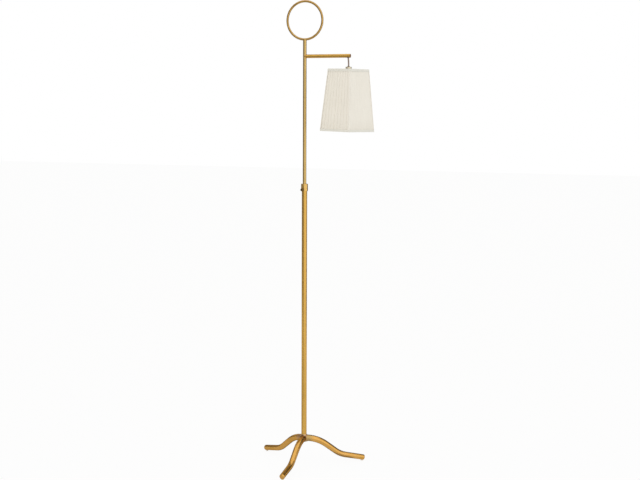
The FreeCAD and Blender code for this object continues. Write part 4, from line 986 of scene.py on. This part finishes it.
    def _row(self, level: float, sway: list[list[float]]) -> tuple[list[Vector], list[Vector]]:
        """One level of the pleats.

        Args:
            level: The level.
            sway: Each pleat's own unevenness.

        Returns:
            The points of the front, and of the flat back behind them.
        """
        half = self.half(level) - self.tape
        pitch = 2.0 * half / self.pleats
        height = self.depth(level)
        free = math.sin(math.pi * level)
        back_line = -half + self.pleat_depth + self.cloth_back
        front, back = [], []
        for side, turned in enumerate(self.turns):
            for pleat in range(self.pleats):
                ways = sway[side * self.pleats + pleat]
                wave = math.sin(2.0 * math.pi * level + ways[2])
                lean = free * (ways[0] * self.lean_spread + ways[1] * self.wave_spread * wave)
                swell = 1.0 + (self.swell_spread * ways[3] - self.swell_loss) * free
                for number, (share, deep) in enumerate(self.fold):
                    shift = lean if 0 < number else 0.0
                    across = -half + pitch * (pleat + share + shift)
                    bulge = self.bulge * free * (1.0 - deep)
                    spot = Vector((across, -half + self.pleat_depth * deep * swell - bulge, height))
                    front.append(turned @ spot)
                    back.append(turned @ Vector((min(max(across, back_line), -back_line), back_line, height)))
        return front, back

    def _ring(self, offset: float, level: float, drop: float) -> list[Vector]:
        """A square with rounded corners, at an offset inside the shade's outline.

        Args:
            offset: How far inside the outline it runs.
            level: The rim that it belongs to.
            drop: Its height over that rim.

        Returns:
            Its points, once round.
        """
        half = self.half(level + drop / self.height) - offset
        bend = max(self.edge_round - offset, self.least_round)
        reach = half - bend
        height = self.depth(level) + drop
        points = []
        for turned in self.turns:
            for number in range(self.straight_steps):
                across = -reach + 2.0 * reach * number / self.straight_steps
                points.append(turned @ Vector((across, -half, height)))
            for number in range(self.round_steps):
                angle = math.radians(-90.0 + 90.0 * number / self.round_steps)
                across, along = reach + bend * math.cos(angle), -reach + bend * math.sin(angle)
                points.append(turned @ Vector((across, along, height)))
        return points

    def _band(self, name: str, level: float, way: float, tall: float) -> bpy.types.Object:
        """A tape folded over one rim, from the outside to just inside the liner.

        Args:
            name: The band's name.
            level: The level of its rim.
            way: 1 where the band runs up from its rim, and -1 where it runs down.
            tall: How far it runs over the outside.

        Returns:
            The band.
        """
        thick, inner, hem = self.band_cloth, self.liner_inside, self.turned_in
        section = (
            (0.05 * MM, tall - 0.05 * MM), (0.0, tall - 0.3 * MM), (0.02 * MM, tall * 0.5),
            (0.0, 0.5 * MM), (0.12 * MM, 0.06 * MM), (0.5 * MM, -0.12 * MM), (inner - 0.3 * MM, -0.12 * MM),
            (inner + 0.12 * MM, 0.06 * MM), (inner + 0.22 * MM, 0.4 * MM), (inner + 0.22 * MM, hem),
            (inner + 0.02 * MM, hem), (inner + 0.02 * MM, 0.35 * MM), (inner - 0.2 * MM, 0.2 * MM),
            (thick + 0.2 * MM, 0.2 * MM), (thick, 0.5 * MM), (thick, tall - 0.3 * MM),
            (thick - 0.05 * MM, tall - 0.05 * MM),
        )
        return self._swept(name, [self._ring(offset, level, way * rise) for offset, rise in section])

    def _swept(self, name: str, rings: Sequence[list[Vector]]) -> bpy.types.Object:
        """Joins rings of points into a closed skin.

        Args:
            name: The piece's name.
            rings: The rings, each once round the shade; the last one joins the first.

        Returns:
            The piece.
        """
        mesh = cloth_mesh()
        grid = [[mesh.verts.new(self.hang @ spot) for spot in ring] for ring in rings]
        rise = 0.0
        for number, ring in enumerate(rings):
            over = (number + 1) % len(rings)
            top = rise + (rings[over][0] - ring[0]).length
            skin(mesh, grid[number], grid[over], measured(ring), (rise, top))
            rise = top
        return finish_mesh(name, mesh, 50.0)

    def _corner_tapes(self) -> bpy.types.Object:
        """Folds a tape down each corner, between the two bands.

        Returns:
            The tapes, as one piece.
        """
        mesh = cloth_mesh()
        foot = (self.bottom_band + self.tape_gap) / self.height
        head = 1.0 - (self.top_band + self.tape_gap) / self.height
        levels = [foot + (head - foot) * row / self.tape_rows for row in range(self.tape_rows + 1)]
        stride, rise = self.tape_stride
        for turned in self.turns:
            grid = [[mesh.verts.new(self.hang @ (turned @ spot)) for spot in self._tape_section(level)]
                    for level in levels]
            runs = [stride * column for column in range(len(grid[0]) + 1)]
            for row, (lower, upper) in enumerate(zip(grid, grid[1:])):
                skin(mesh, lower, upper, runs, (rise * row, rise * (row + 1)))
            mesh.faces.new(grid[0][::-1])
            mesh.faces.new(grid[-1])
        return finish_mesh("corner_tapes", mesh, 40.0)

    def _tape_section(self, level: float) -> list[Vector]:
        """The outline of a corner tape at a level.

        Args:
            level: The level.

        Returns:
            Its points, with the corner between the first side and the next.
        """
        half, wide, bend = self.half(level), self.tape_width, self.edge_round
        thick, cut = self.tape * 0.8, self.edge_round * 0.3
        outline = ((half - wide, -half), (half - bend, -half), (half - cut, -half + cut),
                   (half, -half + bend), (half, -half + wide), (half - thick, -half + wide),
                   (half - thick, -half + thick), (half - wide, -half + thick))
        return [Vector((across, along, self.depth(level))) for across, along in outline]


@dataclass
class LampHolder:
    """The screw lamp holder with its switch, and the bulb in it."""

    def build(self) -> None:
        """Dresses the holder and the bulb."""
        dress((
            (PlainMetalFinish("socket_brass", (0.70, 0.48, 0.19), (0.56, 0.36, 0.13), 0.24),
             ["socket_cap", "socket_shell"]),
            (MouldedFinish("socket_fibre", (0.030, 0.022, 0.016), (0.022, 0.016, 0.012), 0.7),
             ["socket_liner"]),
            (MouldedFinish("black_phenolic", (0.012, 0.012, 0.012), (0.020, 0.019, 0.018), 0.24, coat=0.4),
             ["switch_body", "switch_knob"]),
            (PlainMetalFinish("contact_metal", (0.72, 0.52, 0.24), (0.60, 0.42, 0.18), 0.22),
             ["screw_shell", "centre_contact"]),
            (PlainMetalFinish("bulb_screw", (0.66, 0.66, 0.67), (0.55, 0.55, 0.57), 0.3), ["bulb_cap"]),
            (FrostedGlassFinish("frosted_glass", (0.84, 0.84, 0.81), (0.90, 0.90, 0.88)), ["bulb_globe"]),
        ))


@dataclass(frozen=True)
class SoftLight:
    """A square light: degrees to the camera's right, metres out, up and wide, watts, colour."""

    name: str
    angle: float
    distance: float
    height: float
    side: float
    power: float
    colour: Colour


class Facing(Enum):
    """What a card faces, with the name of a card that does."""

    MAST = "card"
    FOOT = "upright_card"
    CEILING = "floor_card"


@dataclass(frozen=True)
class Card:
    """A grey card: degrees to the camera's right, metres out and up, width, height, brightness."""

    angle: float
    distance: float
    height: float
    wide: float
    tall: float
    grey: float
    facing: Facing = Facing.MAST


@dataclass
class Studio:
    """A pale floor, soft light and the camera that took the photograph's view."""

    camera_bearing: float = -67.27
    camera_distance: float = 4.4974
    camera_height: float = 1.3083
    pitch: float = 6.14
    roll: float = 0.20
    heading: float = 22.0137
    focal_pixels: float = 1254.7
    picture_width: float = 640.0
    sensor: float = 36.0
    sight: float = 100.0
    aim: Triple = (0.0, 0.0, 0.9)
    room_colour: Colour = (1.0, 0.992, 0.972)
    room_strength: float = 0.98
    floor_side: float = 40.0
    floor_colour: Colour = (0.66, 0.66, 0.65)
    white_share: float = 0.94
    lights: Sequence[SoftLight] = (
        SoftLight("key_light", 48.0, 3.0, 1.9, 3.0, 19.5, (0.90, 0.95, 1.0)),
        SoftLight("fill_light", -34.0, 3.6, 2.2, 1.8, 20.0, (1.0, 0.96, 0.90)),
    )
    cards: Sequence[Card] = (
        Card(-40.0, 2.2, 1.375, 1.62, 2.35, 0.32),
        Card(-80.0, 2.2, 1.375, 1.62, 2.35, 0.27),
        Card(-120.0, 2.2, 1.375, 1.62, 2.35, 0.24),
        Card(-160.0, 2.2, 1.30, 1.62, 2.50, 0.20),
        Card(160.0, 2.2, 1.30, 1.62, 2.50, 0.10),
        Card(120.0, 2.2, 1.375, 1.62, 2.35, 0.10),
        Card(-80.0, 1.05, 0.4 * MM, 2.1, 4.2, 0.58, Facing.CEILING),
        Card(100.0, 1.05, 0.5 * MM, 2.1, 4.2, 0.68, Facing.CEILING),
        Card(-80.0, 1.325, 0.6 * MM, 1.55, 4.2, 0.48, Facing.CEILING),
        Card(100.0, 1.325, 0.7 * MM, 1.55, 4.2, 0.75, Facing.CEILING),
        Card(-15.0, 0.525, 0.8 * MM, 0.45, 0.60, 0.88, Facing.CEILING),
        Card(150.0, 0.225, 0.9 * MM, 0.35, 0.30, 0.30, Facing.CEILING),
        Card(-5.0, 0.08, 1.0 * MM, 0.20, 0.05, 0.12, Facing.CEILING),
        Card(180.0, 1.66, 2.70, 3.2, 1.12, 0.22, Facing.FOOT),
        Card(88.0, 0.55, 0.45, 0.28, 0.36, 0.46, Facing.FOOT),
        Card(-145.0, 0.50, 0.32, 0.30, 0.20, 0.66, Facing.FOOT),
        Card(-168.0, 0.50, 0.36, 0.20, 0.34, 0.60, Facing.FOOT),
    )

    def around(self, angle: float, distance: float, height: float) -> Vector:
        """A place round the lamp: degrees to the camera's right, metres from the mast and up."""
        bearing = math.radians(self.camera_bearing + angle)
        return Vector((distance * math.cos(bearing), distance * math.sin(bearing), height))

    def build(self) -> None:
        """Sets up the whole studio."""
        scene = bpy.context.scene
        scene.view_settings.view_transform = "Standard"
        scene.camera = self._camera()
        scene.world = self._room()
        self._floor()
        for light in self.lights:
            self._lamp(light)
        for card in self.cards:
            self._card(card)

    def _camera(self) -> bpy.types.Object:
        """Stands the camera where the photograph was taken.

        Returns:
            The camera.
        """
        data = bpy.data.cameras.new("photograph_view")
        data.sensor_width = self.sensor
        data.lens = self.focal_pixels * self.sensor / self.picture_width
        data.dof.use_dof = False
        data.clip_end = self.sight
        camera = placed("photograph_view", data)
        camera.location = self.around(0.0, self.camera_distance, self.camera_height)
        turns = ((self.heading, "Z"), (90.0 - self.pitch, "X"), (self.roll, "Z"))
        heading, tilt, roll = (Matrix.Rotation(math.radians(angle), 3, axis) for angle, axis in turns)
        camera.rotation_euler = (heading @ tilt @ roll).to_euler()
        return camera

    def _room(self) -> bpy.types.World:
        """White where it is seen or mirrored, and a plain soft level where it lights.

        Returns:
            The world.
        """
        bench = ShaderBench("soft_room", world=True)
        colours = {"Color": self.room_colour, "Strength": self.room_strength}
        light = bench.node("ShaderNodeBackground", {}, colours)
        white = bench.node("ShaderNodeBackground", {}, {"Color": WHITE})
        return bench.ended(bench.node("ShaderNodeMixShader", {}, {0: bench.shown(), 1: light, 2: white}))

    def _floor(self) -> None:
        """A wide pale floor that keeps a faint shadow."""
        deselect_all()
        bpy.ops.mesh.primitive_plane_add(size=self.floor_side, location=(0.0, 0.0, 0.0))
        floor = bpy.context.view_layer.objects.active
        floor.name = "floor"
        bench = ShaderBench("pale_floor")
        plain = bench.node("ShaderNodeBsdfDiffuse", {}, {"Color": self.floor_colour})
        white = bench.node("ShaderNodeEmission", {}, {"Color": WHITE})
        share = bench.shown() * self.white_share
        mixed = bench.node("ShaderNodeMixShader", {}, {0: share, 1: plain, 2: white})
        floor.data.materials.append(bench.ended(mixed))

    def _lamp(self, light: SoftLight) -> None:
        """Hangs a light that looks at the lamp, and which the metal doesn't mirror.

        Args:
            light: Its place, size, power and colour.
        """
        data = bpy.data.lights.new(light.name, "AREA")
        data.shape = "SQUARE"
        data.size = light.side
        data.energy = light.power
        data.color = light.colour
        hung = placed(light.name, data)
        hung.visible_glossy = False
        hung.location = self.around(light.angle, light.distance, light.height)
        aim = Vector(self.aim) - hung.location
        hung.rotation_euler = aim.to_track_quat("-Z", "Y").to_euler()

    def _card(self, card: Card) -> None:
        """Stands a card that only the metal mirrors: no camera, soft surface or shadow meets it.

        Args:
            card: Its place, size, brightness and facing.
        """
        spot = self.around(card.angle, card.distance, card.height)
        if card.facing is Facing.CEILING:
            turn = Matrix.Rotation(math.radians(self.camera_bearing + card.angle), 4, "Z")
        else:
            aim = Vector((0.0, 0.0, card.height if card.facing is Facing.MAST else 0.0))
            turn = (aim - spot).to_track_quat("Z", "Y").to_matrix().to_4x4()
        deselect_all()
        bpy.ops.mesh.primitive_plane_add(size=1.0, location=(0.0, 0.0, 0.0))
        stood = bpy.context.view_layer.objects.active
        stood.name = card.facing.value
        size = Matrix.Diagonal((card.wide, card.tall, 1.0, 1.0))
        stood.data.transform(Matrix.Translation(spot) @ turn @ size)
        for ray in ("camera", "diffuse", "transmission", "shadow"):
            setattr(stood, "visible_" + ray, False)
        bench = ShaderBench(card.facing.value)
        glow = bench.node("ShaderNodeEmission", {}, {"Color": (card.grey, card.grey, card.grey)})
        stood.data.materials.append(bench.ended(glow))


def main() -> None:
    """Builds the lamp's pieces in order, and then the studio."""
    logging.basicConfig(level=logging.INFO, format="%(name)s: %(message)s")
    for assembly in (DropCord(), Tripod(), Mast(), Shade(), LampHolder(), Studio()):
        assembly.build()
        LOG.info("%s is built", type(assembly).__name__)


if __name__ == "__main__":
    main()
